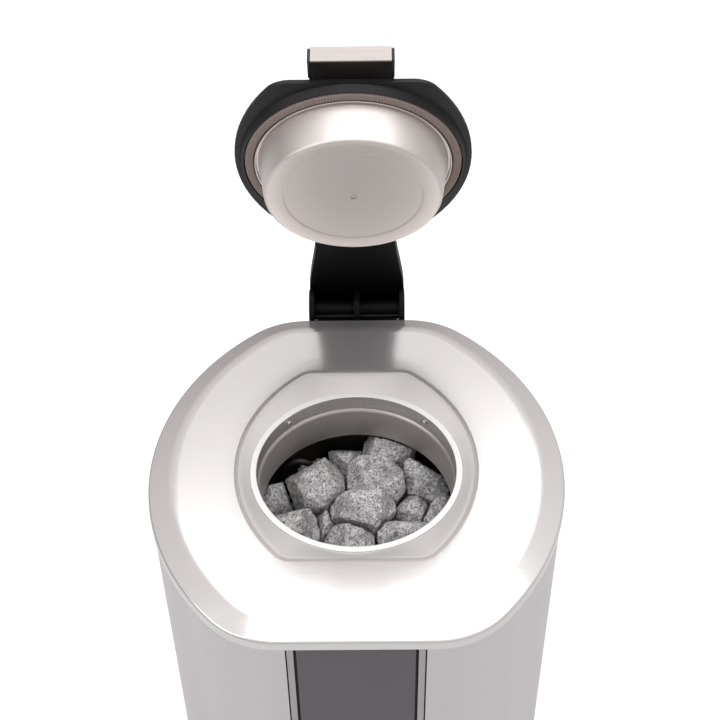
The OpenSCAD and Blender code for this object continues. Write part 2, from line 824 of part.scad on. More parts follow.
// The point of a heating element's loop, seen from above, that lies nearest to p
function loop_point(i, p) = let (
        a = i * 90,
        middle = [loop_x * cos(a) - loop_y * sin(a), loop_x * sin(a) + loop_y * cos(a)],
        along = [cos(a), sin(a)],
        t = max(-leg_gap / 2,
            min(leg_gap / 2, (p.x - middle.x) * along.x + (p.y - middle.y) * along.y)))
    middle + t * along;

// Everything on the far side of a plane through p, whose normal points at what stays
module keep_side(p, n) {
    big = 4 * tank_r;
    translate(p) rotate([0, acos(n.z / norm(n)), atan2(n.y, n.x)]) translate([-big / 2, -big / 2, 0])
        cube(big);
}

module stone(from, others, number, top = [0, 0]) {
    seed = place(from);
    near = [for (q = others) let (away = norm(place(q) - seed))
        if (away > stone_gap && away < 2 * stone_layer) q];
    spin = rands(0, 360, 2 * chips_n, number);
    chip = rands(0.74, 1, 2 * chips_n, number + 100);
    reach = stone_layer / 2 + from[3];
    wall_step = 15;
    hull()
        intersection() {
            translate(seed) cube(4 * reach, center = true);
            intersection_for(q = near) {
                back = seed - place(q);
                keep_side(seed - back / 2 + unit(back) * (stone_gap + q[3] - from[3]) / 2, back);
            }
            intersection_for(i = [-3 : 3]) {
                a = atan2(seed.y, seed.x) + i * wall_step;
                keep_side([stone_r * cos(wall_step / 2) * cos(a), stone_r * cos(wall_step / 2) * sin(a),
                    seed.z],
                    [-cos(a), -sin(a), 0]);
            }
            intersection_for(i = [0 : loops_n - 1]) {
                q = loop_point(i, seed);
                away = unit([seed.x - q.x, seed.y - q.y, 0]);
                keep_side([q.x, q.y, seed.z] + away * (tube_r + stone_gap), away);
            }
            intersection_for(i = [-1 : 1]) {
                a = atan2(seed.y, seed.x) + i * wall_step;
                keep_side([(sleeve_r - stone_gap) * cos(a), (sleeve_r - stone_gap) * sin(a),
                    rim_z - sleeve_depth - stone_gap],
                    [-cos(a), -sin(a), -1]);
            }
            keep_side([seed.x, seed.y, stone_floor], [0, 0, 1]);
            keep_side([seed.x, seed.y, seed.z + seed_drop], [-top.x, -top.y, -1]);
            intersection_for(i = [0 : chips_n - 1]) {
                n = [cos(spin[i]) * chip[i], sin(spin[i]) * chip[i], sin(spin[i + chips_n])];
                keep_side(seed + unit(n) * reach * chip[i + chips_n], -n);
            }
        }
}

module stones_top() {
    others = concat(top_seeds, below(0));
    color("darkgray")
        for (i = [0 : len(top_seeds) - 1]) stone(top_seeds[i], others, i, top_stone_shares[i][3]);
}

module stone_layers(first, last) {
    color("gray")
        for (k = [first : last]) {
            others = concat(k == 0 ? top_seeds : below(k - 1), below(k), below(k + 1));
            for (i = [0 : len(below(k)) - 1]) stone(below(k)[i], others, draws_n * (k + 1) + i);
        }
}

module stones_upper() { stone_layers(0, floor(stone_layers_n / 2) - 1); }
module stones_lower() { stone_layers(floor(stone_layers_n / 2), stone_layers_n - 1); }

// Front panel and trims

carrier_t = 2;
carrier_half_w = slot_half_w + carrier_lap;
carrier_y = casing_front_y + sheet_t + seat_gap;
panel_t = 1.4;
board_half_w = panel_half_w - trim_w - trim_gap;

module panel_carrier() {
    color("black")
        difference() {
            block([2 * carrier_half_w, carrier_t, panel_top_z + carrier_lap - panel_z + carrier_lap],
                carrier_y, panel_z - carrier_lap);
            control_holes();
        }
}

module front_panel() {
    color("dimgray")
        difference() {
            block([2 * board_half_w, panel_t, panel_top_z - panel_z - 2 * trim_gap],
                carrier_y - seat_gap - panel_t, panel_z + trim_gap);
            control_holes();
        }
}

module trim(side) {
    h = trim_proud + sheet_t;
    translate([side * (panel_half_w - trim_w / 2), 0, 0])
        block([trim_w, h, lip_z - seat_gap - panel_z - sheet_t], carrier_y - seat_gap - h, panel_z
            + sheet_t);
}

module left_trim() { color("gainsboro") trim(-1); }
module right_trim() { color("gainsboro") trim(1); }

// Controls, set into the panel's lower end

panel_face_y = carrier_y - seat_gap - panel_t;
switch_w = 21;
switch_h = 27;
switch_flange = 2;
switch_flange_t = 1.6;
switch_body_d = 26;
rocker_r = 10.5;
rocker_w = 15;
rocker_pin_r = 1.5;
rocker_slack = 0.5;
bush_wall = 2.5;
bush_r = reset_r + bush_wall;
bush_out = 3;
reset_out = 2;
box_back_y = carrier_y + carrier_t + seat_gap;
thermostat_size = [44, 34, 44];
limiter_size = [34, 30, 34];

module control_holes() {
    deep = 8 * carrier_t;
    translate([0, carrier_y, knob_z]) rotate([90, 0, 0])
        cylinder(h = deep, r = spindle_bush_r + seat_gap, center = true, $fn = 48);
    block([switch_w + 2 * seat_gap, deep, switch_h + 2 * seat_gap], carrier_y - deep / 2,
        switch_z - switch_h / 2 - seat_gap);
    translate([0, carrier_y, reset_z]) rotate([90, 0, 0])
        cylinder(h = deep, r = bush_r + seat_gap, center = true, $fn = 48);
}

spindle_bush_wall = 2;
spindle_bush_r = spindle_r + spindle_bush_wall;

module thermostat() {
    color("ivory")
        difference() {
            union() {
                block(thermostat_size, box_back_y, knob_z - thermostat_size.z / 2);
                translate([0, box_back_y + cut, knob_z]) rotate([90, 0, 0])
                    cylinder(h = box_back_y + cut - panel_face_y, r = spindle_bush_r, $fn = 48);
            }
            translate([0, box_back_y + thermostat_size.y / 2, knob_z]) rotate([90, 0, 0])
                cylinder(h = thermostat_size.y, r = spindle_r + run_gap, $fn = 48);
            translate([capillary_x, box_back_y + thermostat_size.y + cut,
                knob_z - thermostat_size.z / 4])
                rotate([90, 0, 0])
                cylinder(h = thermostat_size.y / 2, r = capillary_r + run_gap, $fn = 32);
        }
}

module thermostat_spindle() {
    y0 = panel_face_y - seat_gap - knob_h * 2 / 3;
    y1 = box_back_y + thermostat_size.y / 2 - seat_gap;
    color("silver") translate([0, y1, knob_z]) rotate([90, 0, 0])
        cylinder(h = y1 - y0, r = spindle_r, $fn = 48);
}

knob_grip_r = 1.6;
knob_grips_n = 24;
pointer_w = 2;
pointer_l = 9;
pointer_d = 0.6;

module thermostat_knob() {
    grip_in_r = knob_r * 0.82;
    color("black")
        translate([0, panel_face_y - seat_gap, knob_z])
            rotate([90, 0, 0])
                difference() {
                    union() {
                        cylinder(h = knob_h / 5, r = knob_r, $fn = 96);
                        cylinder(h = knob_h, r = grip_in_r, $fn = 96);
                    }
                    translate([0, 0, -cut])
                        cylinder(h = cut + knob_h * 2 / 3 + seat_gap, r = spindle_r + run_gap,
                            $fn = 48);
                    ring_of(knob_grips_n, grip_in_r + knob_grip_r / 2, 180 / knob_grips_n)
                        translate([0, 0, knob_h / 4]) cylinder(h = knob_h, r = knob_grip_r, $fn = 16);
                    translate([-pointer_w / 2, grip_in_r - pointer_l - 2 * knob_grip_r,
                        knob_h - pointer_d])
                        cube([pointer_w, pointer_l, cut]);
                }
}

module sensor_capillary() {
    bend = 8;
    y_end = box_back_y + thermostat_size.y * 0.75;
    z_low = knob_z - thermostat_size.z / 4;
    color("goldenrod") {
        translate([capillary_x, capillary_y, bulb_z]) cylinder(h = bulb_l, r = bulb_r, $fn = 32);
        translate([capillary_x, capillary_y, z_low + bend])
            cylinder(h = bulb_z - z_low - bend + cut, r = capillary_r, $fn = 24);
        translate([capillary_x, capillary_y - bend, z_low + bend]) rotate([0, -90, 0])
            rotate([0, 0, 90]) rotate_extrude(angle = 90, $fn = 64)
            translate([bend, 0]) circle(r = capillary_r, $fn = 24);
        translate([capillary_x, capillary_y - bend, z_low]) rotate([90, 0, 0])
            cylinder(h = capillary_y - bend - y_end, r = capillary_r, $fn = 24);
    }
}

rocker_y = panel_face_y + rocker_r * 0.45;

module main_switch() {
    color("black")
        difference() {
            union() {
                block([switch_w, switch_body_d, switch_h], panel_face_y - cut / 2,
                    switch_z - switch_h / 2);
                block([switch_w + 2 * switch_flange, switch_flange_t, switch_h + 2 * switch_flange],
                    panel_face_y - seat_gap - switch_flange_t, switch_z - switch_h / 2 - switch_flange);
            }
            translate([-rocker_w / 2 - rocker_slack, rocker_y, switch_z]) rotate([0, 90, 0])
                cylinder(h = rocker_w + 2 * rocker_slack, r = rocker_r + rocker_slack, $fn = 64);
            block([rocker_w + 2 * rocker_slack, rocker_r, 2 * (rocker_r + rocker_slack)],
                rocker_y - rocker_r, switch_z - rocker_r - rocker_slack);
            translate([-switch_w / 2 + cut, rocker_y, switch_z]) rotate([0, 90, 0])
                cylinder(h = switch_w - 2 * cut, r = rocker_pin_r + run_gap, $fn = 32);
        }
}

module switch_rocker() {
    color("dimgray")
        translate([0, rocker_y, switch_z])
            rotate([rocker_tilt, 0, 0]) {
                difference() {
                    translate([-rocker_w / 2, 0, 0]) rotate([0, 90, 0])
                        cylinder(h = rocker_w, r = rocker_r, $fn = 64);
                    for (s = [-1, 1])
                        mirror([0, 0, s < 0 ? 1 : 0])
                            translate([-rocker_w, -rocker_r * 0.75, 0]) rotate([-rocker_tilt, 0, 0])
                                translate([0, -rocker_r, -rocker_r / 4])
                                    cube([2 * rocker_w, rocker_r, 2 * rocker_r]);
                }
                translate([-switch_w / 2 + cut + seat_gap, 0, 0]) rotate([0, 90, 0])
                    cylinder(h = switch_w - 2 * cut - 2 * seat_gap, r = rocker_pin_r, $fn = 32);
            }
}

reset_l = 16;

module overheat_limiter() {
    color("ivory")
        difference() {
            union() {
                block(limiter_size, box_back_y, reset_z - limiter_size.z / 2);
                translate([0, box_back_y + cut, reset_z]) rotate([90, 0, 0])
                    cylinder(h = box_back_y + cut - panel_face_y + bush_out, r = bush_r, $fn = 48);
            }
            translate([0, panel_face_y - 2 * bush_out, reset_z]) rotate([-90, 0, 0])
                cylinder(h = bush_out + reset_l - reset_out + reset_travel + seat_gap, r = reset_r
                    + run_gap, $fn = 48);
        }
}

module reset_button() {
    color("red")
        translate([0, panel_face_y - bush_out - reset_out, reset_z]) rotate([-90, 0, 0])
            cylinder(h = reset_l, r = reset_r, $fn = 48);
}

// Wiring chassis behind the service cover

chassis_w = 150;
chassis_h = 180;
chassis_t = 1.5;
chassis_y = 120;
chassis_foot = 30;
contactor_size = [46, 70, 82];
contactor_rail = 4;
terminal_n = 5;
terminal_pitch = 16;
terminal_size = [14, 24, 36];
terminal_z = 30;

module control_chassis() {
    z0 = casing_z + base_t + seat_gap;
    color("silver") {
        block([chassis_w, chassis_t, chassis_h], chassis_y, z0);
        block([chassis_w, chassis_foot, chassis_t], chassis_y, z0);
        block([chassis_w * 0.8, contactor_rail, 2 * terminal_z / 3], chassis_y + chassis_t - cut / 2, z0
            + chassis_h * 0.62);
    }
}

module contactor() {
    z0 = casing_z + base_t + seat_gap + chassis_h * 0.62 + terminal_z / 3 - contactor_size.z / 2;
    y0 = chassis_y + chassis_t + contactor_rail + seat_gap;
    color("dimgray") {
        block(contactor_size, y0, z0);
        for (i = [-1 : 1])
            translate([i * contactor_size.x / 3.4, 0, 0])
                block([contactor_size.x / 5, contactor_size.y / 5, contactor_size.z * 0.7], y0
                    + contactor_size.y - cut / 2, z0 + contactor_size.z * 0.15);
    }
}

module terminal_block() {
    z0 = casing_z + base_t + seat_gap + terminal_z;
    y0 = chassis_y + chassis_t + seat_gap;
    color("beige")
        difference() {
            union() {
                block([terminal_n * terminal_pitch, terminal_size.y / 3, terminal_size.z], y0, z0);
                for (i = [0 : terminal_n - 1])
                    translate([(i - (terminal_n - 1) / 2) * terminal_pitch, 0, 0])
                        block([terminal_size.x, terminal_size.y, terminal_size.z * 0.7], y0, z0
                            + terminal_size.z * 0.15);
            }
            for (i = [0 : terminal_n - 1])
                translate([(i - (terminal_n - 1) / 2) * terminal_pitch, y0 + terminal_size.y / 2, z0
                    + terminal_size.z / 2])
                    rotate([-90, 0, 0])
                        cylinder(h = terminal_size.y, r = terminal_size.x / 5, $fn = 32);
        }
}

// Lid position switch under the plate and its magnet in the arm

lid_switch_size = [40, 14, 10];
lid_switch_x = 24;
lid_switch_y = 212;
magnet_r = 5;
magnet_h = 4;

module lid_switch() {
    y = lid_switch_y - lid_switch_size.y / 2;
    plate_z = fold_z + plate_fall * (y - seat_back) / (body_back - bevel_w - seat_back);
    color("black") translate([lid_switch_x, 0, 0])
        block(lid_switch_size, y, plate_z - sheet_t - seat_gap - lid_switch_size.z);
}

// Hinge

hinge_z = rim_z - hinge_depth;
hood_clear = 1.6;
pocket_r = lug_r + hood_clear;
hood_r = pocket_r + hood_t;
hood_end = -15;
web_start = 8;
washer_t = 0.5;
knuckle_gap = washer_t + seat_gap;
bracket_y = casing_back_y + seat_gap;
bracket_t = 8;
bracket_top_z = lip_z - 2 * seat_gap - sheet_t;
bracket_drop = 12;
bracket_screw_r = 3;
bracket_screw_l = 22;
bracket_screw_x = hinge_half_w * 0.62;
lug_back = -100;
stop_r = 2.2;
stop_l = 3;
stop_place_r = (barrel_r + pocket_r) / 2;

// The lid's pieces are drawn closed and put at the open stop
module opened() {
    translate([0, hinge_y, hinge_z]) rotate([-open_angle, 0, 0]) translate([0, -hinge_y, -hinge_z])
        children();
}

// A flat profile in Y and Z, given width along X
module along_x(x0, x1) {
    translate([x0, 0, 0]) rotate([90, 0, 90]) linear_extrude(x1 - x0) children();
}

module bracket_screw_places() {
    for (sx = [-1, 1], sz = [0.35, 0.8])
        translate([sx * bracket_screw_x, bracket_y, bracket_top_z - sz * bracket_h]) rotate([-90, 0, 0])
            children();
}

module hinge_bracket() {
    foot_z = bracket_top_z - bracket_h;
    color([0.12, 0.12, 0.12])
        difference() {
            union() {
                block([2 * hinge_half_w, bracket_t, bracket_h - bracket_drop], bracket_y, foot_z);
                for (x = [-hinge_half_w, -lug_t / 2, hinge_half_w - lug_t])
                    along_x(x, x + lug_t) {
                        translate([hinge_y, hinge_z]) circle(r = lug_r, $fn = 96);
                        polygon([[bracket_y, bracket_top_z], [hinge_y, hinge_z],
                            [hinge_y + lug_r * cos(lug_back), hinge_z + lug_r * sin(lug_back)],
                                [bracket_y, foot_z]]);
                    }
            }
            translate([-hinge_half_w - cut, hinge_y, hinge_z]) rotate([0, 90, 0])
                cylinder(h = 2 * hinge_half_w + 2 * cut, r = shaft_r + run_gap, $fn = 64);
            for (s = [-1, 1])
                translate([s * (hinge_half_w - shaft_sink), hinge_y, hinge_z]) rotate([0, s * 90, 0])
                    cylinder(h = 2 * shaft_sink, r = shaft_head_r + seat_gap, $fn = 64);
            bracket_screw_places() translate([0, 0, -cut])
                cylinder(h = bracket_t + 2 * cut, r = bracket_screw_r + seat_gap, $fn = 32);
            stop_pin_places() cylinder(h = 3 * lug_t, r = stop_r + run_gap, center = true, $fn = 32);
        }
}

module stop_pin_places() {
    a = hood_end - open_angle - asin((stop_r + seat_gap) / stop_place_r);
    for (s = [-1, 1])
        translate([s * hinge_half_w, hinge_y + stop_place_r * cos(a), hinge_z + stop_place_r * sin(a)])
            rotate([0, -90 * s, 0]) children();
}

module stop_pins() {
    color("white") stop_pin_places() cylinder(h = lug_t + stop_l, r = stop_r, $fn = 32);
}

bracket_head_r = 5.5;
bracket_head_h = 4;

module bracket_screws() {
    color("dimgray")
        bracket_screw_places() {
            translate([0, 0, bracket_t + seat_gap])
                cylinder(h = bracket_head_h, r = bracket_head_r, $fn = 6);
            translate([0, 0, bracket_t + seat_gap - bracket_screw_l])
                cylinder(h = bracket_screw_l, r = bracket_screw_r, $fn = 32);
        }
}

shaft_head_r = 7.5;
shaft_head_h = 2.5;
groove_w = 1.2;
groove_d = 0.8;

// Depth of the round seats in the outer lugs, which take the shaft's head and its clip
shaft_sink = shaft_head_h + 2 * seat_gap;

module hinge_shaft() {
    head_x = seat_gap - hinge_half_w;
    l = -2 * head_x;
    color("silver")
        translate([head_x, hinge_y, hinge_z])
            rotate([0, 90, 0])
                difference() {
                    union() {
                        cylinder(h = shaft_head_h, r = shaft_head_r, $fn = 48);
                        cylinder(h = l, r = shaft_r, $fn = 64);
                    }
                    translate([0, 0, l - shaft_head_h]) tube(2 * shaft_r, shaft_r - groove_d, groove_w);
                }
}

module shaft_clip() {
    color("gray")
        translate([hinge_half_w - seat_gap - shaft_head_h + run_gap, hinge_y, hinge_z])
            rotate([0, 90, 0])
                tube(shaft_r + 2 * groove_w, shaft_r - groove_d + run_gap, groove_w - 2 * run_gap);
}

module hinge_washers() {
    inner = lug_t / 2 + seat_gap / 2;
    outer = hinge_half_w - lug_t - seat_gap / 2 - washer_t;
    color("goldenrod")
        for (x = [-outer - washer_t, -inner - washer_t, inner, outer])
            translate([x, hinge_y, hinge_z]) rotate([0, 90, 0])
                tube(barrel_r, shaft_r + run_gap, washer_t);
}

arm_under_z = body_h + arm_gap;
arm_front_y = lid_back * 0.62;
arm_step_y = lid_back + seat_gap;
pad_top_z = rim_z + lid_edge_z + lid_rim_h + crown_rise * 0.42;
tongue_z = pad_top_z + seat_gap;
tongue_t = 8;
tongue_top_z = tongue_z + tongue_t;
arm_back_y = hinge_y + hood_r;
arm_straight = 8;
arm_flare_y = arm_step_y + arm_straight;
arm_steps = 8;

// Half the arm's width, which flares from the lid to the hinge
function arm_reach(y) = let (t = max(0, min(1, (y - arm_flare_y) / (hinge_y - arm_flare_y))))
    arm_half_w + (hinge_half_w - arm_half_w) * t * t * (3 - 2 * t);

module arm_plan() {
    ys = concat([arm_front_y],
        [for (i = [0 : arm_steps]) arm_flare_y + (hinge_y - arm_flare_y) * i / arm_steps],
            [arm_back_y + cut]);
    polygon(concat([for (y = ys) [arm_reach(y), y]],
        [for (i = [len(ys) - 1 : -1 : 0]) [-arm_reach(ys[i]), ys[i]]]));
}

module arm_side() {
    difference() {
        polygon(concat([[arm_front_y, tongue_z], [arm_step_y, tongue_z], [arm_step_y, arm_under_z],
            [hinge_y, arm_under_z], [hinge_y, hinge_z]],
            arc([hinge_y, hinge_z], hood_r, hood_end, 90, 3 * corner_steps),
            [[arm_step_y, tongue_top_z], [arm_front_y, tongue_top_z]]));
        translate([hinge_y, hinge_z]) circle(r = pocket_r, $fn = 96);
    }
}

module knuckle_side() {
    translate([hinge_y, hinge_z]) {
        circle(r = barrel_r, $fn = 64);
        intersection() {
            circle(r = pocket_r + cut, $fn = 96);
            translate([-pocket_r - cut, arm_under_z - hinge_z])
                square([2 * (pocket_r + cut), pocket_r]);
        }
        polygon([[0, 0], (pocket_r + cut) * [cos(hood_end), sin(hood_end)], (pocket_r + cut)
            * [cos(web_start), sin(web_start)]]);
    }
}

module arm_screw_places() {
    for (sx = [-1, 1], t = [0.25, 0.72])
        translate([sx * arm_half_w * 0.62, arm_front_y + t * (lid_back - arm_front_y), tongue_z])
            children();
}

arm_screw_r = 2.5;
arm_screw_l = 14;
arm_head_r = 4.5;
arm_head_h = 3;

// A shallow field between two rails, pressed into the arm's underside
arm_field_d = 1.4;
arm_rail_w = 8;
magnet_z = arm_under_z + arm_field_d + 2 * sheet_t;

module arm_recess() {
    intersection() {
        translate([0, 0, arm_under_z - cut]) linear_extrude(cut + arm_field_d)
            offset(delta = -arm_rail_w) arm_plan();
        translate([-hinge_half_w, arm_step_y + arm_rail_w, 0])
            cube([2 * hinge_half_w, hinge_y + pocket_r / 2 - arm_step_y, 2 * body_h]);
    }
}

module hinge_arm() {
    color([0.1, 0.1, 0.1])
        opened()
            difference() {
                union() {
                    intersection() {
                        along_x(-hinge_half_w, hinge_half_w) arm_side();
                        linear_extrude(2 * body_h) arm_plan();
                    }
                    for (x = [-hinge_half_w + lug_t + knuckle_gap, lug_t / 2 + knuckle_gap])
                        along_x(x, x + hinge_half_w - 1.5 * lug_t - 2 * knuckle_gap) knuckle_side();
                }
                translate([-hinge_half_w, hinge_y, hinge_z]) rotate([0, 90, 0])
                    cylinder(h = 2 * hinge_half_w, r = shaft_r + run_gap, $fn = 64);
                arm_screw_places()
                    cylinder(h = 4 * tongue_t, r = arm_screw_r + seat_gap, center = true, $fn = 32);
                arm_recess();
                translate([lid_switch_x, lid_switch_y, magnet_z - seat_gap])
                    cylinder(h = crown_rise, r = magnet_r + seat_gap, $fn = 48);
            }
}

module arm_screws() {
    color("gray")
        opened()
            arm_screw_places() {
                translate([0, 0, tongue_t + seat_gap])
                    cylinder(h = arm_head_h, r = arm_head_r, $fn = 6);
                translate([0, 0, tongue_t + seat_gap - arm_screw_l])
                    cylinder(h = arm_screw_l, r = arm_screw_r, $fn = 32);
            }
}

module lid_magnet() {
    color("gray") opened() translate([lid_switch_x, lid_switch_y, magnet_z])
        cylinder(h = magnet_h, r = magnet_r, $fn = 48);
}

// Lid

lid_low_z = rim_z + lid_edge_z;
lid_rim_z = lid_low_z + lid_rim_h;
mouth_clear = 1.5;
// The shell's collar round the gasket: height of its edge over the ledge, its edge and its foot
collar_z = 1.8;
collar_t = 1;
collar_foot = 5.5;
lid_mouth_r = gasket_r + mouth_clear;
// The crown's section: shares of the way in to the middle and of the rise
crown_shares = [[0, 0], [0.02, 0.10], [0.08, 0.28], [0.18, 0.50], [0.30, 0.70], [0.45, 0.86],
    [0.65, 0.96], [0.85, 1]];
pad_slack = 1;
handle_pad_w = 18;

function scaled(points, s) = [for (p = points) p * s];
function crown_rings(inset, drop,
    first = 0) = [for (i = [first : len(crown_shares) - 1]) let (s = crown_shares[i])
    at_height(scaled(lid_outline(inset), 1 - s[0]), lid_rim_z + s[1] * crown_rise - drop)];

// The room over the flat seat that the crown leaves for the arm
module arm_seat(margin, z) {
    half_w = arm_half_w + pad_slack + margin;
    translate([-half_w, arm_front_y - pad_slack - margin, z])
        cube([2 * half_w, lid_back, crown_rise + lid_rim_h]);
}

module lid_shell() {
    color([0.2, 0.2, 0.21])
        opened()
            difference() {
                union() {
                    loft(concat([at_height(lid_outline(0), lid_low_z)], crown_rings(0, 0)));
                    rotate_extrude($fn = 128)
                        polygon([[lid_mouth_r, rim_z + collar_z], [lid_mouth_r + collar_t, rim_z
                            + collar_z],
                            [lid_mouth_r + collar_foot, lid_low_z + cut],
                            [lid_mouth_r, lid_low_z + cut]]);
                    translate([-handle_w / 2 + handle_cap_t, handle_flange_y - handle_pad_w, lid_rim_z])
                        cube([handle_w - 2 * handle_cap_t, handle_pad_w,
                            handle_top_z - handle_t - seat_gap - lid_rim_z]);
                }
                difference() {
                    loft(concat([at_height(lid_outline(shell_t), lid_low_z + shell_t)],
                        crown_rings(shell_t, shell_t, 1)));
                    arm_seat(shell_t, pad_top_z - shell_t);
                }
                arm_seat(0, pad_top_z);
                translate([0, 0, rim_z])
                    cylinder(h = lid_edge_z + shell_t + cut, r = lid_mouth_r, $fn = 128);
                handle_screw_places()
                    cylinder(h = 8 * handle_t, r = handle_screw_r + seat_gap, center = true, $fn = 32);
                arm_screw_places()
                    cylinder(h = 4 * shell_t, r = arm_screw_r + seat_gap, center = true, $fn = 32);
            }
}

liner_z = lid_low_z + shell_t + seat_gap;
liner_t = 1.2;
pan_top_z = liner_z - seat_gap;

module lid_liner() {
    color("dimgray")
        opened()
            translate([0, 0, liner_z])
                linear_extrude(liner_t)
                    difference() {
                        polygon(lid_outline(3 * shell_t));
                        circle(r = pan_rim_r - 4 * pan_t, $fn = 128);
                    }
}

insulation_low_z = rim_z - pan_depth + emboss_d + pan_t + seat_gap;

module lid_insulation() {
    low = liner_z + liner_t + seat_gap;
    plug = onto_circle(lid_outline(3 * shell_t), pan_floor_r - 2 * pan_t);
    color("khaki")
        opened()
            difference() {
                loft(concat([at_height(plug, insulation_low_z), at_height(plug, low),
                    at_height(lid_outline(3 * shell_t), low)],
                    crown_rings(3 * shell_t, 2 * shell_t, 2)));
                arm_seat(2 * shell_t, pad_top_z - 2 * shell_t);
                translate([0, 0, insulation_low_z])
                    cylinder(h = 2 * pan_screw_l, r = pan_screw_r + seat_gap, center = true, $fn = 32);
            }
}

module lid_gasket() {
    z = rim_z + seat_gap;
    soft = gasket_w / 5;
    color("tan")
        opened()
            rotate_extrude($fn = 128)
                polygon([[gasket_r - gasket_w + soft, z], [gasket_r - soft, z], [gasket_r, z + soft],
                    [gasket_r, pan_top_z],
                    [gasket_r - gasket_w, pan_top_z], [gasket_r - gasket_w, z + soft]]);
}

pan_roll = 0.4;
pan_round = 4.5;
pan_edge_t = 1.5;

module lid_pan() {
    z0 = rim_z - pan_depth;
    top = pan_top_z - pan_t;
    edge_r = pan_rim_r - pan_edge_t;
    wall_r = edge_r - pan_groove_w;
    roof_z = rim_z + pan_groove_d;
    color("lightgray")
        opened()
            difference() {
                rotate_extrude($fn = 128)
                    polygon(concat([[0, z0 + emboss_d], [emboss_r - emboss_d, z0 + emboss_d],
                        [emboss_r, z0]],
                        arc([pan_floor_r - pan_round, z0 + pan_round], pan_round, -90, -8, round_steps),
                        [[wall_r, rim_z], [wall_r, roof_z], [edge_r, roof_z], [edge_r, rim_z + pan_roll],
                        [edge_r + pan_roll, rim_z], [pan_rim_r - pan_roll, rim_z],
                        [pan_rim_r, rim_z + pan_roll], [pan_rim_r, pan_top_z],
                        [pan_rim_r - 4 * pan_t, pan_top_z], [pan_rim_r - 4 * pan_t, top],
                        [edge_r, top], [edge_r, roof_z + pan_t], [wall_r - pan_t, roof_z + pan_t],
                        [wall_r - pan_t, rim_z]],
                        arc([pan_floor_r - pan_round, z0 + pan_round], pan_round - pan_t, -8, -90,
                            round_steps),
                        [[emboss_r, z0 + pan_t], [emboss_r - emboss_d, z0 + emboss_d + pan_t],
                            [0, z0 + emboss_d + pan_t]]));
                translate([0, 0, z0])
                    cylinder(h = 4 * pan_t, r = pan_screw_r + seat_gap, center = true, $fn = 32);
            }
}

pan_screw_r = 1.8;
pan_screw_l = 10;
pan_head_r = 3.6;
pan_head_h = 1.6;

module pan_screw() {
    z0 = rim_z - pan_depth + emboss_d - seat_gap;
    color("silver")
        opened() {
            translate([0, 0, z0 - pan_head_h]) tube(pan_head_r, pan_head_r / 2, pan_head_h / 2);
            translate([0, 0, z0 - pan_head_h / 2])
                cylinder(h = pan_head_h / 2, r = pan_head_r, $fn = 96);
            translate([0, 0, z0 - pan_head_h / 2]) cylinder(h = pan_screw_l, r = pan_screw_r, $fn = 32);
        }
}

// Handle: a folded channel, open below for the fingers

handle_front_y = -(lid_front + handle_out);
handle_top_z = rim_z + handle_z + handle_h;
handle_flange_y = -lid_front * 0.62;
handle_screw_r = 2;
handle_screw_l = 8;
handle_head_r = 3.5;
handle_head_h = 2;

module handle_screw_places() {
    for (s = [-1, 1]) translate([s * handle_w / 4, handle_flange_y - 3 * handle_t, handle_top_z])
        children();
}

handle_cap_round = 2;
handle_lap = 3;

module handle_bar() {
    inner_w = handle_w - 2 * handle_cap_t - 2 * seat_gap;
    color("silver")
        opened()
            difference() {
                union() {
                    block([inner_w, handle_t, handle_h], handle_front_y, rim_z + handle_z);
                    block([inner_w, handle_flange_y - handle_front_y, handle_t], handle_front_y,
                        handle_top_z - handle_t);
                    block([handle_w, handle_flange_y - handle_front_y - handle_cap_round, handle_t],
                        handle_front_y + handle_cap_round, handle_top_z - handle_t);
                }
                handle_screw_places()
                    cylinder(h = 4 * handle_t, r = handle_screw_r + seat_gap, center = true, $fn = 32);
            }
}

// One cap's plan: its outer corners are round, its inner side is straight
module handle_cap_plan() {
    depth = handle_out + handle_lap;
    intersection() {
        hull()
            for (x = [0, handle_cap_t], y = [handle_cap_round, depth - handle_cap_round])
                translate([handle_w / 2 - handle_cap_round - x, handle_front_y + y])
                    circle(r = handle_cap_round, $fn = 32);
        translate([handle_w / 2 - handle_cap_t, handle_front_y]) square([handle_cap_t, depth]);
    }
}

module handle_caps() {
    color([0.15, 0.14, 0.15])
        opened()
            for (s = [0, 1])
                mirror([s, 0, 0]) translate([0, 0, rim_z + handle_z])
                    linear_extrude(handle_h - handle_t - seat_gap) handle_cap_plan();
}

module handle_screws() {
    color("silver")
        opened()
            handle_screw_places() {
                translate([0, 0, seat_gap]) cylinder(h = handle_head_h, r = handle_head_r, $fn = 32);
                translate([0, 0, seat_gap - handle_screw_l])
                    cylinder(h = handle_screw_l, r = handle_screw_r, $fn = 32);
            }
}

casing();
top_plate();
neck_ring();
neck_sleeve();
neck_screws();
stone_chamber();
stone_grate();
stones_top();
stones_upper();
stones_lower();
heating_elements();
element_nuts();
element_terminals();
heat_shield();
side_insulation();
base_board();
deck_plate();
chamber_legs();
base_pan();
plinth();
feet();
foot_nuts();
panel_carrier();
front_panel();
left_trim();
right_trim();
thermostat();
thermostat_spindle();
thermostat_knob();
sensor_capillary();
main_switch();
switch_rocker();
overheat_limiter();
reset_button();
control_chassis();
contactor();
terminal_block();
service_cover();
cover_screws();
cable_gland();
gland_nut();
lid_switch();
hinge_bracket();
bracket_screws();
hinge_shaft();
shaft_clip();
hinge_washers();
stop_pins();
hinge_arm();
arm_screws();
lid_magnet();
lid_shell();
lid_liner();
lid_insulation();
lid_gasket();
lid_pan();
pan_screw();
handle_bar();
handle_caps();
handle_screws();
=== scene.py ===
"""Dresses the sauna stove: brushed casing, pressed top plate, granite stones and a heavy open lid."""

import logging
import math
import random
from collections.abc import Sequence
from dataclasses import dataclass
from enum import Enum
from functools import cache

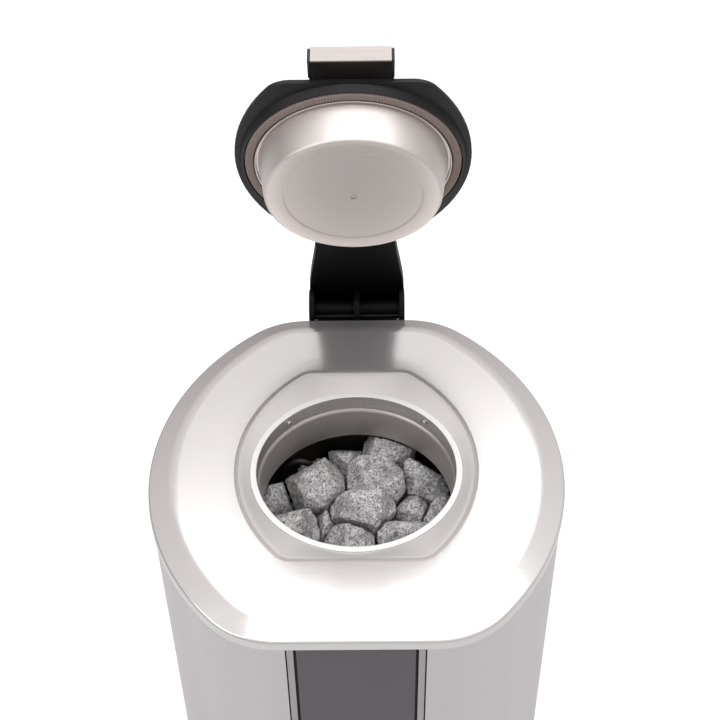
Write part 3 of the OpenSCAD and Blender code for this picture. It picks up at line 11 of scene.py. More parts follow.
import bmesh
import bpy
from bmesh.types import BMEdge, BMesh, BMFace, BMVert
from bpy.types import Material, Node, NodeTree, Object
from mathutils import Euler, Matrix, Quaternion, Vector, noise


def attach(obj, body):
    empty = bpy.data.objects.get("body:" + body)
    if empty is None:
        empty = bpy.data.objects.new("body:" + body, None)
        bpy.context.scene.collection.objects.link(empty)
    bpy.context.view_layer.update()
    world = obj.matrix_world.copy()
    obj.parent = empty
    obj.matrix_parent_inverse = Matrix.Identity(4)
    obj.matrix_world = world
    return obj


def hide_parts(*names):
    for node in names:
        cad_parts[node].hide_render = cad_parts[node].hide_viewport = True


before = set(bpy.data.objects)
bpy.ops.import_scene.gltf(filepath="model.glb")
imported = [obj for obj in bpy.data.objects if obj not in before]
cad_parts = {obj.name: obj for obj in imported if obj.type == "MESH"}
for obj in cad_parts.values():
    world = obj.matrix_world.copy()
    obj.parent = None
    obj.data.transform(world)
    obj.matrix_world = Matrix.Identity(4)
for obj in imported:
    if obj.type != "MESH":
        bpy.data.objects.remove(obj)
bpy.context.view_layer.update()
LOG = logging.getLogger("stove")

MM = 0.001  # a millimetre in metres
SAME_MM = 0.001  # drawn points closer than this are one
LEVEL_MM = 0.01  # edges this close to a height lie at it
CAD_SAME_M = 2e-6  # points of a copied node closer than this are one
CAD_FLAT_DEG = 0.4  # its faces that turn by less are one
CAD_CUT_M = 1e-7  # a cut through it takes points closer than this as they are
SHEET_SHARP_DEG = 50  # edges of a sheet that turn by more are broken
MIX_A, MIX_B, MIX_OUT = 6, 7, 2  # the colour sockets of a Mix node, by number because their names repeat
WHITE = (1.0, 1.0, 1.0, 1.0)

Edges = list[BMEdge]
Point = tuple[float, float, float]
Socket = bpy.types.NodeSocket


class Body(Enum):
    """The rigid bodies that pieces ride on."""

    STOVE = "stove"
    LID = "lid"
    KNOB = "knob"
    ROCKER = "rocker"
    RESET = "reset"


@dataclass(frozen=True)
class Sizes:
    """The stove's driving dimensions in millimetres and degrees, with the origin on the floor."""

    rim_z: float = 790.4
    plate_z: float = 800.0
    bevel_w: float = 31.0
    bevel_drop: float = 12.0
    lip_h: float = 12.8
    fold_rise: float = 6.3
    sheet_t: float = 1.5
    hole_r: float = 120.6
    ledge_w: float = 7.5
    sleeve_depth: float = 66.6
    casing_z: float = 60.0
    panel_z: float = 96.0
    hinge_y: float = 301.4
    hinge_z: float = 780.6
    open_angle: float = 73.3


SIZES = Sizes()


def ends(edges: Edges) -> list[BMVert]:
    """The vertices of some edges, each once and always in the same order."""
    return list(dict.fromkeys(v for e in edges for v in e.verts))


@dataclass(frozen=True)
class Plan:
    """A plan with bowed sides, round corners and straight ends, in millimetres.

    Args:
        half_w: half the width at the middle of the sides.
        side_r: radius of the bowed sides.
        front: distance of the front end from the axis.
        back: distance of the back end from the axis.
        corner_r: radius of the corners.
        side_steps: edges from the middle of a side to its corner.
        corner_steps: edges of a corner.
        end_steps: edges from a corner to the middle of an end.
    """

    half_w: float
    side_r: float
    front: float
    back: float
    corner_r: float
    side_steps: int = 24
    corner_steps: int = 16
    end_steps: int = 8

    def inset(self, by: float) -> "Plan":
        """The same plan, drawn inwards by a distance."""
        return Plan(*(size - by for size in (self.half_w, self.side_r, self.front, self.back, self.corner_r)))

    def quarter(self, bm: BMesh, end: float, sign: int, z: float) -> None:
        """Spins a point from the middle of the right side round a corner to the middle of an end.

        Args:
            bm: the mesh to draw in.
            end: distance of that end from the axis.
            sign: 1 for the back end, -1 for the front.
            z: the height.
        """
        side_x, reach = self.half_w - self.side_r, self.side_r - self.corner_r
        turn = math.asin((end - self.corner_r) / reach)
        corner = (side_x + reach * math.cos(turn), sign * (end - self.corner_r), z)
        verts = [bm.verts.new((self.half_w, 0, z))]
        for centre, angle, steps in (((side_x, 0, z), turn, self.side_steps),
                                     (corner, math.pi / 2 - turn, self.corner_steps)):
            spun = bmesh.ops.spin(bm, geom=verts, cent=centre, axis=(0, 0, sign), angle=angle, steps=steps)
            verts = [v for v in spun["geom_last"] if isinstance(v, BMVert)]
        drawn = bmesh.ops.extrude_vert_indiv(bm, verts=verts)
        bmesh.ops.translate(bm, verts=drawn["verts"], vec=(-corner[0], 0, 0))
        bmesh.ops.subdivide_edges(bm, edges=drawn["edges"], cuts=self.end_steps - 1)

    def loop(self, bm: BMesh, z: float) -> Edges:
        """Draws the whole plan.

        Args:
            bm: the mesh to draw in.
            z: the height.

        Returns:
            Its edges.
        """
        old = set(bm.edges)
        self.quarter(bm, self.back, 1, z)
        self.quarter(bm, self.front, -1, z)
        half = [e for e in bm.edges if e not in old]
        bmesh.ops.mirror(bm, geom=ends(half) + half, axis="X", merge_dist=SAME_MM)
        bmesh.ops.remove_doubles(bm, verts=ends([e for e in bm.edges if e not in old]), dist=SAME_MM)
        return [e for e in bm.edges if e not in old]

    def circle(self, bm: BMesh, radius: float, z: float) -> Edges:
        """Draws the plan's points moved to a circle round the axis.

        Args:
            bm: the mesh to draw in.
            radius: the circle's radius.
            z: the height.

        Returns:
            Its edges.
        """
        ring = self.loop(bm, z)
        for vert in ends(ring):
            vert.co = Vector((*(vert.co.xy.normalized() * radius), z))
        return ring


BODY_PLAN = Plan(half_w=250.0, side_r=318.0, front=251.0, back=269.0, corner_r=106.0)
SEAT_PLAN = Plan(half_w=141.5, side_r=199.6, front=142.3, back=157.9, corner_r=25.7)


def skin(bm: BMesh, loops: Sequence[Edges]) -> None:
    """Bridges a row of loops and turns the faces outward.

    Args:
        bm: the mesh that holds them.
        loops: the loops, from one end of the skin to the other.
    """
    for first, second in zip(loops, loops[1:]):
        bmesh.ops.bridge_loops(bm, edges=first + second)
    bmesh.ops.recalc_face_normals(bm, faces=bm.faces)
    if max(bm.faces, key=lambda f: f.calc_center_median().x).normal.x < 0:
        bmesh.ops.reverse_faces(bm, faces=bm.faces)


def fold(bm: BMesh, height: float, radius: float, steps: int) -> None:
    """Rounds the loop of edges at a height, as a press does.

    Args:
        bm: the skin.
        height: the loop's height.
        radius: how far the rounding reaches on each side.
        steps: faces across the rounding.
    """
    edges = [e for e in bm.edges if all(abs(v.co.z - height) < LEVEL_MM for v in e.verts)]
    bmesh.ops.bevel(bm, geom=edges, offset=radius, offset_type="OFFSET", affect="EDGES", segments=steps,
                    profile=0.5, material=-1)


def cut_window(bm: BMesh, half_w: float, low: float, high: float, side: int) -> None:
    """Cuts a rectangle out of a skin.

    Args:
        bm: the skin.
        half_w: half the window's width.
        low: height of its lower edge.
        high: height of its upper edge.
        side: -1 for the front, 1 for the back.
    """
    for place, normal in (((half_w, 0, 0), (1, 0, 0)), ((-half_w, 0, 0), (1, 0, 0)),
                          ((0, 0, low), (0, 0, 1)), ((0, 0, high), (0, 0, 1))):
        bmesh.ops.bisect_plane(bm, geom=bm.verts[:] + bm.edges[:] + bm.faces[:], plane_co=place,
                               plane_no=normal)
    middles = [(face, face.calc_center_median()) for face in bm.faces]
    gone = [f for f, at in middles if abs(at.x) < half_w and low < at.z < high and at.y * side > 0]
    bmesh.ops.delete(bm, geom=gone, context="FACES")


def rounded(profile: Sequence[tuple[float, ...]], steps: int = 4) -> list[Vector]:
    """Turns the soft corners of a profile into arcs.

    Args:
        profile: each corner's radius and height, and its softness if it has one.
        steps: edges of each arc.

    Returns:
        The profile's points.
    """
    points: list[Vector] = []
    for i, (radius, height, *soft) in enumerate(profile):
        here = Vector((radius, height))
        if not soft:
            points.append(here)
            continue
        before, after = Vector(profile[i - 1][:2]), Vector(profile[(i + 1) % len(profile)][:2])
        a = here + (before - here).normalized() * soft[0]
        b = here + (after - here).normalized() * soft[0]
        for t in (j / steps for j in range(steps + 1)):
            points.append(a * (1 - t) ** 2 + here * 2 * t * (1 - t) + b * t ** 2)
    return points


def turned(profile: Sequence[Vector], steps: int = 160, closed: bool = True) -> BMesh:
    """Spins a profile round the vertical axis.

    Args:
        profile: points of radius and height.
        steps: edges round the axis.
        closed: whether the last point is joined to the first, as it isn't where both lie on the axis.

    Returns:
        The mesh, in millimetres.
    """
    bm = bmesh.new()
    verts = [bm.verts.new((p.x, 0, p.y)) for p in profile]
    edges = [bm.edges.new((verts[i - 1], verts[i])) for i in range(0 if closed else 1, len(verts))]
    bmesh.ops.spin(bm, geom=verts + edges, cent=(0, 0, 0), axis=(0, 0, 1), angle=math.tau, steps=steps,
                   use_merge=True)
    bmesh.ops.remove_doubles(bm, verts=bm.verts, dist=SAME_MM)
    bmesh.ops.recalc_face_normals(bm, faces=bm.faces)
    return bm


def polar_uv(bm: BMesh) -> None:
    """Lays a UV map in metres on a turned mesh: u along the ring, v across its section.

    Args:
        bm: the mesh, in millimetres.
    """
    layer = bm.loops.layers.uv.new("polar")
    for face in bm.faces:
        mid = face.calc_center_median()
        middle, radius = math.atan2(mid.y, mid.x), math.hypot(mid.x, mid.y)
        for loop in face.loops:
            p = loop.vert.co
            angle = math.atan2(p.y, p.x)
            angle += math.tau * round((middle - angle) / math.tau)
            loop[layer].uv = (angle * radius * MM, (p.z + math.hypot(p.x, p.y)) * MM)


def opened(bm: BMesh) -> BMesh:
    """Turns a mesh that was drawn in millimetres on the closed lid to the open stop.

    Args:
        bm: the mesh.

    Returns:
        The same mesh.
    """
    pivot = Vector((0, SIZES.hinge_y, SIZES.hinge_z))
    turn = Matrix.Rotation(-math.radians(SIZES.open_angle), 4, "X")
    there_and_back = Matrix.Translation(pivot) @ turn @ Matrix.Translation(-pivot)
    bmesh.ops.transform(bm, matrix=there_and_back, verts=bm.verts)
    return bm


def in_metres(bm: BMesh) -> BMesh:
    """Scales a mesh that was drawn in millimetres."""
    bmesh.ops.scale(bm, vec=(MM, MM, MM), verts=bm.verts)
    return bm


def cad_copy(node: str) -> BMesh:
    """Copies a node's solid and makes its flat faces whole again.

    Args:
        node: the node's name.

    Returns:
        The copy, in metres.
    """
    bm = bmesh.new()
    bm.from_mesh(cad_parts[node].data)
    bmesh.ops.remove_doubles(bm, verts=bm.verts, dist=CAD_SAME_M)
    bmesh.ops.dissolve_limit(bm, angle_limit=math.radians(CAD_FLAT_DEG), verts=bm.verts, edges=bm.edges)
    return bm


def placed(name: str, data: BMesh | bpy.types.ID) -> Object:
    """Puts an object in the scene.

    Args:
        name: its name.
        data: its camera, its lamp, or its bmesh, which is freed.

    Returns:
        The object.
    """
    if isinstance(data, BMesh):
        bm, data = data, bpy.data.meshes.new(name)
        bm.to_mesh(data)
        bm.free()
    made = bpy.data.objects.new(name, data)
    bpy.context.scene.collection.objects.link(made)
    return made


def linear(colour: str) -> tuple[float, float, float, float]:
    """An sRGB hex colour as linear red, green, blue and alpha."""
    parts = [int(colour[i:i + 2], 16) / 255 for i in (1, 3, 5)]
    return (*[c / 12.92 if c <= 0.04045 else ((c + 0.055) / 1.055) ** 2.4 for c in parts], 1.0)


def add(tree: NodeTree, kind: str, inputs: dict[str | int, object],
        stops: Sequence[tuple[float, str]] = (), **settings: object) -> Node:
    """Adds a node to a tree.

    Args:
        tree: the node tree.
        kind: the shader node's type, without its prefix.
        inputs: for each input, a value or the socket that feeds it.
        stops: places and hex colours, for a node with a colour ramp.
        settings: the node's own settings.

    Returns:
        The node.
    """
    made = tree.nodes.new("ShaderNode" + kind)
    for key, value in settings.items():
        setattr(made, key, value)
    for key, value in inputs.items():
        if isinstance(value, Socket):
            tree.links.new(value, made.inputs[key])
        else:
            made.inputs[key].default_value = value
    while stops and len(made.color_ramp.elements) < len(stops):
        made.color_ramp.elements.new(0.5)  # moved to its place below
    for i, (place, colour) in enumerate(stops):
        element = made.color_ramp.elements[i]
        element.position, element.color = place, linear(colour)
    return made


def fresh(name: str) -> tuple[Material, NodeTree, Node]:
    """Makes a new material.

    Args:
        name: its name.

    Returns:
        The material, its node tree and its main shader.
    """
    material = bpy.data.materials.new(name)
    material.use_nodes = True
    tree = material.node_tree
    return material, tree, next(n for n in tree.nodes if n.type == "BSDF_PRINCIPLED")


def scattered(tree: NodeTree, size_mm: Point, detail: float) -> Socket:
    """Lays a noise over a piece.

    Args:
        tree: the node tree.
        size_mm: size of its features along each axis.
        detail: how many times finer ones are laid over them.

    Returns:
        The noise, from 0 to 1.
    """
    place = add(tree, "TexCoord", {}).outputs["Object"]
    scale = tuple(1 / (s * MM) for s in size_mm)
    spread = add(tree, "Mapping", {"Vector": place, "Scale": scale}).outputs["Vector"]
    return add(tree, "TexNoise", {"Vector": spread, "Scale": 1.0, "Detail": detail}).outputs["Fac"]


def feed(tree: NodeTree, shader: Node, colour: Socket, rough: Socket | float,
         height: Socket, strength: float, depth_mm: float) -> None:
    """Gives a shader what varies over the surface.

    Args:
        tree: the node tree.
        shader: the main shader.
        colour: the surface's colour.
        rough: its roughness, one number where it is the same all over.
        height: the relief's height, from 0 to 1.
        strength: how strongly the relief shows.
        depth_mm: the relief's depth.
    """
    tree.links.new(colour, shader.inputs["Base Color"])
    if isinstance(rough, Socket):
        tree.links.new(rough, shader.inputs["Roughness"])
    else:
        shader.inputs["Roughness"].default_value = rough
    relief = {"Height": height, "Strength": strength, "Distance": depth_mm * MM}
    tree.links.new(add(tree, "Bump", relief).outputs["Normal"], shader.inputs["Normal"])


@dataclass(frozen=True)
class Steel:
    """Bare metal whose grinding, brushing or blasting leaves fine scratches that stretch its reflections.

    Args:
        name: the finish's name.
        colour: the metal's colour.
        rough: its mean roughness.
        grain_mm: length of the scratches along each axis.
        depth: how strongly their relief shows.
        stain: how much darker the clouds of rolling and handling are.
        metal: metallic share; the rest is the pale haze of fine scratches, which scatters like paint.
        streak: how much the scratches darken the tone.
        cloud_mm: size of the clouds along each axis.
        cloud_gain: makes up for the noise of the clouds, which seldom leaves 0.3 to 0.7.
        scratch_mm: depth of the scratches, drawn far deeper than they are, so that they show.
        smoother: how much less rough the scratches' floors are than the mean.
        rougher: how much rougher their edges are.
        streak_tone: what the scratches' tone is multiplied with.
    """

    name: str
    colour: str
    rough: float
    grain_mm: Point
    depth: float = 0.15
    stain: float = 0.04
    metal: float = 1.0
    streak: float = 0.35
    cloud_mm: Point = (90, 90, 90)
    cloud_gain: float = 2.5
    scratch_mm: float = 0.12
    smoother: float = 0.07
    rougher: float = 0.09
    streak_tone: str = "#dcdcdc"

    def material(self) -> Material:
        """Builds the material.

        Returns:
            The material.
        """
        made, tree, shader = fresh(self.name)
        scratches = scattered(tree, self.grain_mm, 4)
        base = linear(self.colour)
        dark = (*(c * (1 - self.cloud_gain * self.stain) for c in base[:3]), 1.0)
        clouds = scattered(tree, self.cloud_mm, 3)
        tone = add(tree, "Mix", {"Factor": clouds, MIX_A: dark, MIX_B: base}, data_type="RGBA")
        share = add(tree, "MapRange", {"Value": scratches, "To Min": 0.0, "To Max": self.streak})
        streaked = add(tree, "Mix", {"Factor": share.outputs["Result"], MIX_A: tone.outputs[MIX_OUT],
                                     MIX_B: linear(self.streak_tone)},
                       data_type="RGBA", blend_type="MULTIPLY")
        rough = add(tree, "MapRange", {"Value": scratches, "To Min": self.rough - self.smoother,
                                       "To Max": self.rough + self.rougher})
        feed(tree, shader, streaked.outputs[MIX_OUT], rough.outputs["Result"], scratches, self.depth,
             self.scratch_mm)
        shader.inputs["Metallic"].default_value = self.metal
        return made


@dataclass(frozen=True)
class Coat:
    """Baked powder coating or moulded plastic: a fine even orange peel over one tone.

    Args:
        name: the finish's name.
        colour: its colour.
        rough: its mean roughness.
        texture_mm: size of its orange peel.
        depth: how strongly that shows.
        gloss: strength of its plain reflection, 0.5 being that of clear lacquer.
        peel_mm: depth of the orange peel.
        patch_mm: size of the patches that wear has made a little paler.
        paler: how many times lighter these are.
        haze: light that they gain, so that black ones show too.
        uneven: how much the roughness differs from the mean.
    """

    name: str
    colour: str
    rough: float
    texture_mm: float
    depth: float
    gloss: float = 0.5
    peel_mm: float = 0.2
    patch_mm: float = 60
    paler: float = 1.12
    haze: float = 0.002
    uneven: float = 0.06

    def material(self) -> Material:
        """Builds the material.

        Returns:
            The material.
        """
        made, tree, shader = fresh(self.name)
        peel = scattered(tree, (self.texture_mm,) * 3, 2)
        base = linear(self.colour)
        worn = (*(min(1, c * self.paler + self.haze) for c in base[:3]), 1.0)
        patches = scattered(tree, (self.patch_mm,) * 3, 3)
        tone = add(tree, "Mix", {"Factor": patches, MIX_A: base, MIX_B: worn}, data_type="RGBA")
        rough = add(tree, "MapRange", {"Value": peel, "To Min": self.rough - self.uneven,
                                       "To Max": self.rough + self.uneven})
        feed(tree, shader, tone.outputs[MIX_OUT], rough.outputs["Result"], peel, self.depth, self.peel_mm)
        shader.inputs["Specular IOR Level"].default_value = self.gloss
        return made


@dataclass(frozen=True)
class Granite:
    """Split grey granite: pale feldspar, glassy quartz and black mica, which give a dull speckled face.

    Args:
        name: the finish's name.
        dust: the haze of dust over it, and its share.
        grain_mm: size of the feldspar and quartz grains.
        mica_mm, mica_share: size and strength of the mica flecks.
        weather_mm, weather_share: size and strength of the patches that have weathered darker.
        rough: roughness of the mica and of the grains.
        chip_mm, chip_depth_mm, relief: size, depth and strength of the coarse relief of its split faces.
    """

    name: str = "split grey granite"
    dust: tuple[str, float] = ("#c0bec0", 0.15)
    grain_mm: float = 2.2
    mica_mm: float = 1.3
    mica_share: float = 0.8
    weather_mm: float = 22
    weather_share: float = 0.75
    rough: tuple[float, float] = (0.62, 0.9)
    chip_mm: float = 5
    chip_depth_mm: float = 2.6
    relief: float = 0.9

    def material(self) -> Material:
        """Builds the material.

        Returns:
            The material.
        """
        made, tree, shader = fresh(self.name)
        place = add(tree, "TexCoord", {}).outputs["Object"]
        cells = add(tree, "TexVoronoi", {"Vector": place, "Scale": 1 / (self.grain_mm * MM)})
        grains = add(tree, "ValToRGB", {"Fac": cells.outputs["Color"]},
                     [(0.0, "#3e3d3f"), (0.14, "#7b7a7c"), (0.34, "#bdbcbd"), (0.62, "#e0dedf"),
                      (0.9, "#fffdfa")])
        flecks = scattered(tree, (self.mica_mm,) * 3, 3)
        mica = add(tree, "ValToRGB", {"Fac": flecks}, [(0.36, "#2b2a2c"), (0.46, "#ffffff")])
        drift = add(tree, "ValToRGB", {"Fac": scattered(tree, (self.weather_mm,) * 3, 5)},
                    [(0.34, "#9a9898"), (0.58, "#ffffff")])
        tone = grains.outputs["Color"]
        for share, over, way in ((self.mica_share, mica.outputs["Color"], "MULTIPLY"),
                                 (self.weather_share, drift.outputs["Color"], "MULTIPLY"),
                                 (self.dust[1], linear(self.dust[0]), "MIX")):
            tone = add(tree, "Mix", {"Factor": share, MIX_A: tone, MIX_B: over}, data_type="RGBA",
                       blend_type=way).outputs[MIX_OUT]
        rough = add(tree, "MapRange", {"Value": flecks, "To Min": self.rough[0], "To Max": self.rough[1]})
        chips = scattered(tree, (self.chip_mm,) * 3, 8)
        feed(tree, shader, tone, rough.outputs["Result"], chips, self.relief, self.chip_depth_mm)
        return made


@dataclass(frozen=True)
class WovenFibre:
    """Knitted glass fibre rope, browned by heat: slanting stitches along the ring, with fuzz on them.

    Args:
        name: the finish's name.
        colour: the tone between the stitches, darker there as painted shade.
        light: the tone of their tops, lighter there as a painted highlight.
        stitch_mm: half the distance between two stitches.
        fuzz_mm: size of the loose fibres, drawn coarser than their 0.01 mm, so that they show.
        stitch_depth_mm: depth between the stitches.
        wobble: how unevenly they lie.
        rough: its roughness.
        relief: how strongly the stitches stand out.
    """

    name: str = "knitted glass fibre"
    colour: str = "#7c6e6a"
    light: str = "#d6c1ba"
    stitch_mm: float = 1.8
    fuzz_mm: float = 0.9
    stitch_depth_mm: float = 0.8
    wobble: float = 1.2
    rough: float = 0.9
    relief: float = 0.6

    def material(self) -> Material:
        """Builds the material.

        Returns:
            The material.
        """
        made, tree, shader = fresh(self.name)
        along = add(tree, "UVMap", {}, uv_map="polar").outputs["UV"]
        scale = 2 / (math.tau * self.stitch_mm * MM)
        waves = add(tree, "TexWave", {"Vector": along, "Scale": scale, "Distortion": self.wobble,
                                      "Detail": 2.0}, bands_direction="DIAGONAL")
        fuzz = scattered(tree, (self.fuzz_mm,) * 3, 4)
        height = add(tree, "Math", {0: waves.outputs["Fac"], 1: fuzz}, operation="MULTIPLY").outputs[0]
        # the tone follows the stitches' height: painted shade between them and a painted highlight on their
        # tops
        tone = add(tree, "Mix", {"Factor": height, MIX_A: linear(self.colour), MIX_B: linear(self.light)},
                   data_type="RGBA")
        feed(tree, shader, tone.outputs[MIX_OUT], self.rough, height, self.relief, self.stitch_depth_mm)
        return made


@dataclass(frozen=True)
class Wool:
    """Mineral wool slab: matted fibres in a dull yellow, quite without shine.

    Args:
        name: the finish's name.
        dark: the tone of the hollows, darker there as painted shade.
        colour: the tone of the tufts.
        tuft_mm: size of the tufts, which lie flat in the slab.
        tuft_depth_mm: depth between them.
        rough: its roughness.
        relief: how strongly the tufts stand out.
    """

    name: str = "mineral wool"
    dark: str = "#8d7d4e"
    colour: str = "#b5a36c"
    tuft_mm: Point = (3, 3, 1.2)
    tuft_depth_mm: float = 1.0
    rough: float = 0.95
    relief: float = 0.7

    def material(self) -> Material:
        """Builds the material.

        Returns:
            The material.
        """
        made, tree, shader = fresh(self.name)
        mat = scattered(tree, self.tuft_mm, 6)
        # the tone follows the tufts' height: painted shade in the hollows between them
        tone = add(tree, "ValToRGB", {"Fac": mat}, [(0.3, self.dark), (0.7, self.colour)])
        feed(tree, shader, tone.outputs["Color"], self.rough, mat, self.relief, self.tuft_depth_mm)
        return made


class Finish(Enum):
    """The stove's finishes; each value builds its material."""

    #     belt-brushed sheet: scratches run level round the casing and draw its reflections up and down; they
    #     are
    #     0.05 mm wide, and drawn 0.35 mm wide so that they show; its darker clouds stand upright, 55 mm wide
    #     and 900 mm tall
    CASING = Steel("casing, level-brushed stainless", "#ebe5e7", 0.36, (160, 160, 0.35), depth=0.22,
                   stain=0.045, cloud_mm=(55, 55, 900))
    # drawn and then satin-polished: soft reflections that still have edges; the polish's lines are coarsened
    PLATE = Steel("top plate, satin stainless", "#f3f0ef", 0.17, (40, 1.6, 40), 0.03, 0.01, 0.78, 0.12)
    #     ground flat after welding, with no clear reflection; nearly white and mostly without metal: a
    #     painted highlight on its top
    LEDGE = Steel("neck ledge, ground stainless, painted highlight", "#fdfcfb", 0.5, (2, 2, 2), 0.04, 0.01, 0.3, 0.05)
    # rolled and welded tube: lines round the tube, a broad soft shine
    TUBE = Steel("neck tube, rolled stainless", "#dcd6d3", 0.28, (60, 60, 1.0), 0.08, 0.05, 0.85, 0.2)
    # blasted with glass beads: an even satin grey that mirrors nothing
    SEAT = Steel("lid seat, blasted stainless", "#f3f0ef", 0.3, (2, 2, 2), 0.03, 0.01, 0.5, 0.08)
    # drawn strip: fine upright lines
    TRIM = Steel("trims, fine-brushed stainless", "#c6bfc1", 0.34, (3, 3, 60), depth=0.1)
    # rolled tube, dulled by the stones' heat: grey and blotchy
    SLEEVE = Steel("neck, heat-dulled stainless", "#d6d0cd", 0.42, (60, 60, 1.0), 0.12, 0.09, 0.85)
    # spun on a lathe and then blasted: pale, and nearly the same from all sides
    PAN = Steel("pan, spun stainless", "#e9e2df", 0.42, (1.5, 1.5, 1.5), 0.02, 0.02, 0.85, 0.08)
    # brushed along the handle: long streaks from end to end
    HANDLE = Steel("handle, brushed stainless", "#bdb6b3", 0.32, (60, 0.9, 0.9), 0.2, 0.05, 0.85, 0.9)
    # scaled by heat: dark, rough and blotchy
    CHAMBER = Steel("chamber, scaled heat-proof steel", "#4b4644", 0.6, (9, 9, 9), depth=0.3, stain=0.15)
    # dipped in zinc: grey flowers about 12 mm across
    ZINC = Steel("galvanised steel", "#9fa3a6", 0.45, (12, 12, 12), depth=0.05, stain=0.08)
    # oxidised by its own heat: dark and dull
    ELEMENT = Steel("element tube, oxidised alloy", "#4a4443", 0.5, (4, 4, 4), depth=0.2, stain=0.12)
    # cold-headed and tumbled: small bright highlights
    SCREW = Steel("screws, bright stainless", "#e4e2e0", 0.22, (2, 2, 2), depth=0.03, stain=0.02)
    # drawn tube: a warm soft shine
    COPPER = Steel("copper alloy", "#b98352", 0.35, (3, 3, 3), depth=0.05)
    # powder-coated sheet: an even grey without a clear reflection
    PANEL = Coat("front panel, matte powder coat", "#6b676b", 0.6, 0.7, 0.1)
    #     the same in black: the plinth's paint, and on the carrier a painted shade in the gaps round the
    #         panel
    DARK = Coat("matte black coat, painted shade behind the panel", "#161517", 0.7, 0.7, 0.1)
    # cast and coated: deep black that reflects little
    HINGE = Coat("hinge, black cast metal", "#070607", 0.5, 0.9, 0.16, gloss=0.16)
    # cast and coated in charcoal: a soft highlight along its edges
    LID = Coat("lid, charcoal cast metal", "#1f1e20", 0.42, 0.9, 0.14, gloss=0.3)
    # moulded rubber: black and dull
    RUBBER = Coat("feet, moulded rubber", "#151515", 0.85, 1.5, 0.2)
    # moulded plastics: a fine even texture and a soft highlight
    BLACK = Coat("moulded black plastic", "#1b1a1c", 0.42, 0.6, 0.1)
    PALE = Coat("moulded pale plastic", "#cdc7b4", 0.5, 0.6, 0.08)
    RED = Coat("moulded red plastic", "#a31c17", 0.3, 0.6, 0.05)
    # pressed board: chalky
    CERAMIC = Coat("calcium silicate board", "#d9d3c4", 0.85, 1.2, 0.15)
    GRANITE = Granite()
    FIBRE = WovenFibre()
    WOOL = Wool()


@cache
def material_of(finish: Finish) -> Material:
    """The finish's material, made the first time that it is asked for."""
    return finish.value.material()


def as_piece(bm: BMesh, name: str, body: Body, finish: Finish, node: str,
             sharp_deg: float = 40) -> Object:
    """Args:
        bm: the mesh, which is freed.
        name: the piece's name.
        body: the body it rides on.
        finish: its finish.
        node: the construction's node that it stands for.
        sharp_deg: edges that turn by more stay sharp.

    Returns:
        The piece's object.
    """
    for edge in bm.edges:
        edge.smooth = len(edge.link_faces) != 2 or edge.calc_face_angle(0) < math.radians(sharp_deg)
    for face in bm.faces:
        face.smooth = True
    piece = placed(name, bm)
    piece.data.materials.append(material_of(finish))
    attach(piece, body.value)
    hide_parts(node)
    LOG.info("%s: %d faces", name, len(piece.data.polygons))
    return piece


def as_sheet(bm: BMesh, name: str, finish: Finish, node: str,
             edge_mm: float = 0.3) -> Object:
    """Makes a piece of a sheet's outer skin: thickens it inwards and breaks its edges.

    Args:
        bm: the skin in metres, which is freed.
        name: the piece's name.
        finish: its finish.
        node: the construction's node that it stands for.
        edge_mm: width of the broken edges.

    Returns:
        The piece's object.
    """
    piece = as_piece(bm, name, Body.STOVE, finish, node)
    wall = piece.modifiers.new("sheet", "SOLIDIFY")
    wall.thickness, wall.offset = SIZES.sheet_t * MM, -1
    broken = piece.modifiers.new("broken edges", "BEVEL")
    broken.width, broken.segments = edge_mm * MM, 2
    broken.limit_method, broken.angle_limit = "ANGLE", math.radians(SHEET_SHARP_DEG)
    piece.modifiers.new("flat faces", "WEIGHTED_NORMAL").keep_sharp = True
    return piece


@dataclass(frozen=True)
class Dressed:
    """A node that keeps its shape and gets softer edges and a finish.

    Args:
        node: the node's name.
        name: the piece's name.
        finish: its finish.
        slot: the record's material slot; not used.
        edge_mm: radius of its edges, 0 to leave them.
        body: the body it rides on.
        steps: faces across an edge.
        over_deg: edges that turn by more are rounded.
        sharp_deg: edges that turn by more stay sharp in the shading.
    """

    node: str
    name: str
    finish: Finish
    slot: str
    edge_mm: float
    body: Body = Body.STOVE
    steps: int = 2
    over_deg: float = 28
    sharp_deg: float = 40

    def build(self) -> None:
        """Copies the node, rounds its edges and makes the piece."""
        bm = cad_copy(self.node)
        if self.edge_mm:
            limit = math.radians(self.over_deg)
            edges = [e for e in bm.edges if len(e.link_faces) == 2 and e.calc_face_angle(0) > limit]
            bmesh.ops.bevel(bm, geom=edges, offset=self.edge_mm * MM, offset_type="OFFSET", affect="EDGES",
                            segments=self.steps, profile=0.5, material=-1, clamp_overlap=True)
        piece = as_piece(bm, self.name, self.body, self.finish, self.node, self.sharp_deg)
        piece.modifiers.new("flat faces", "WEIGHTED_NORMAL").keep_sharp = True


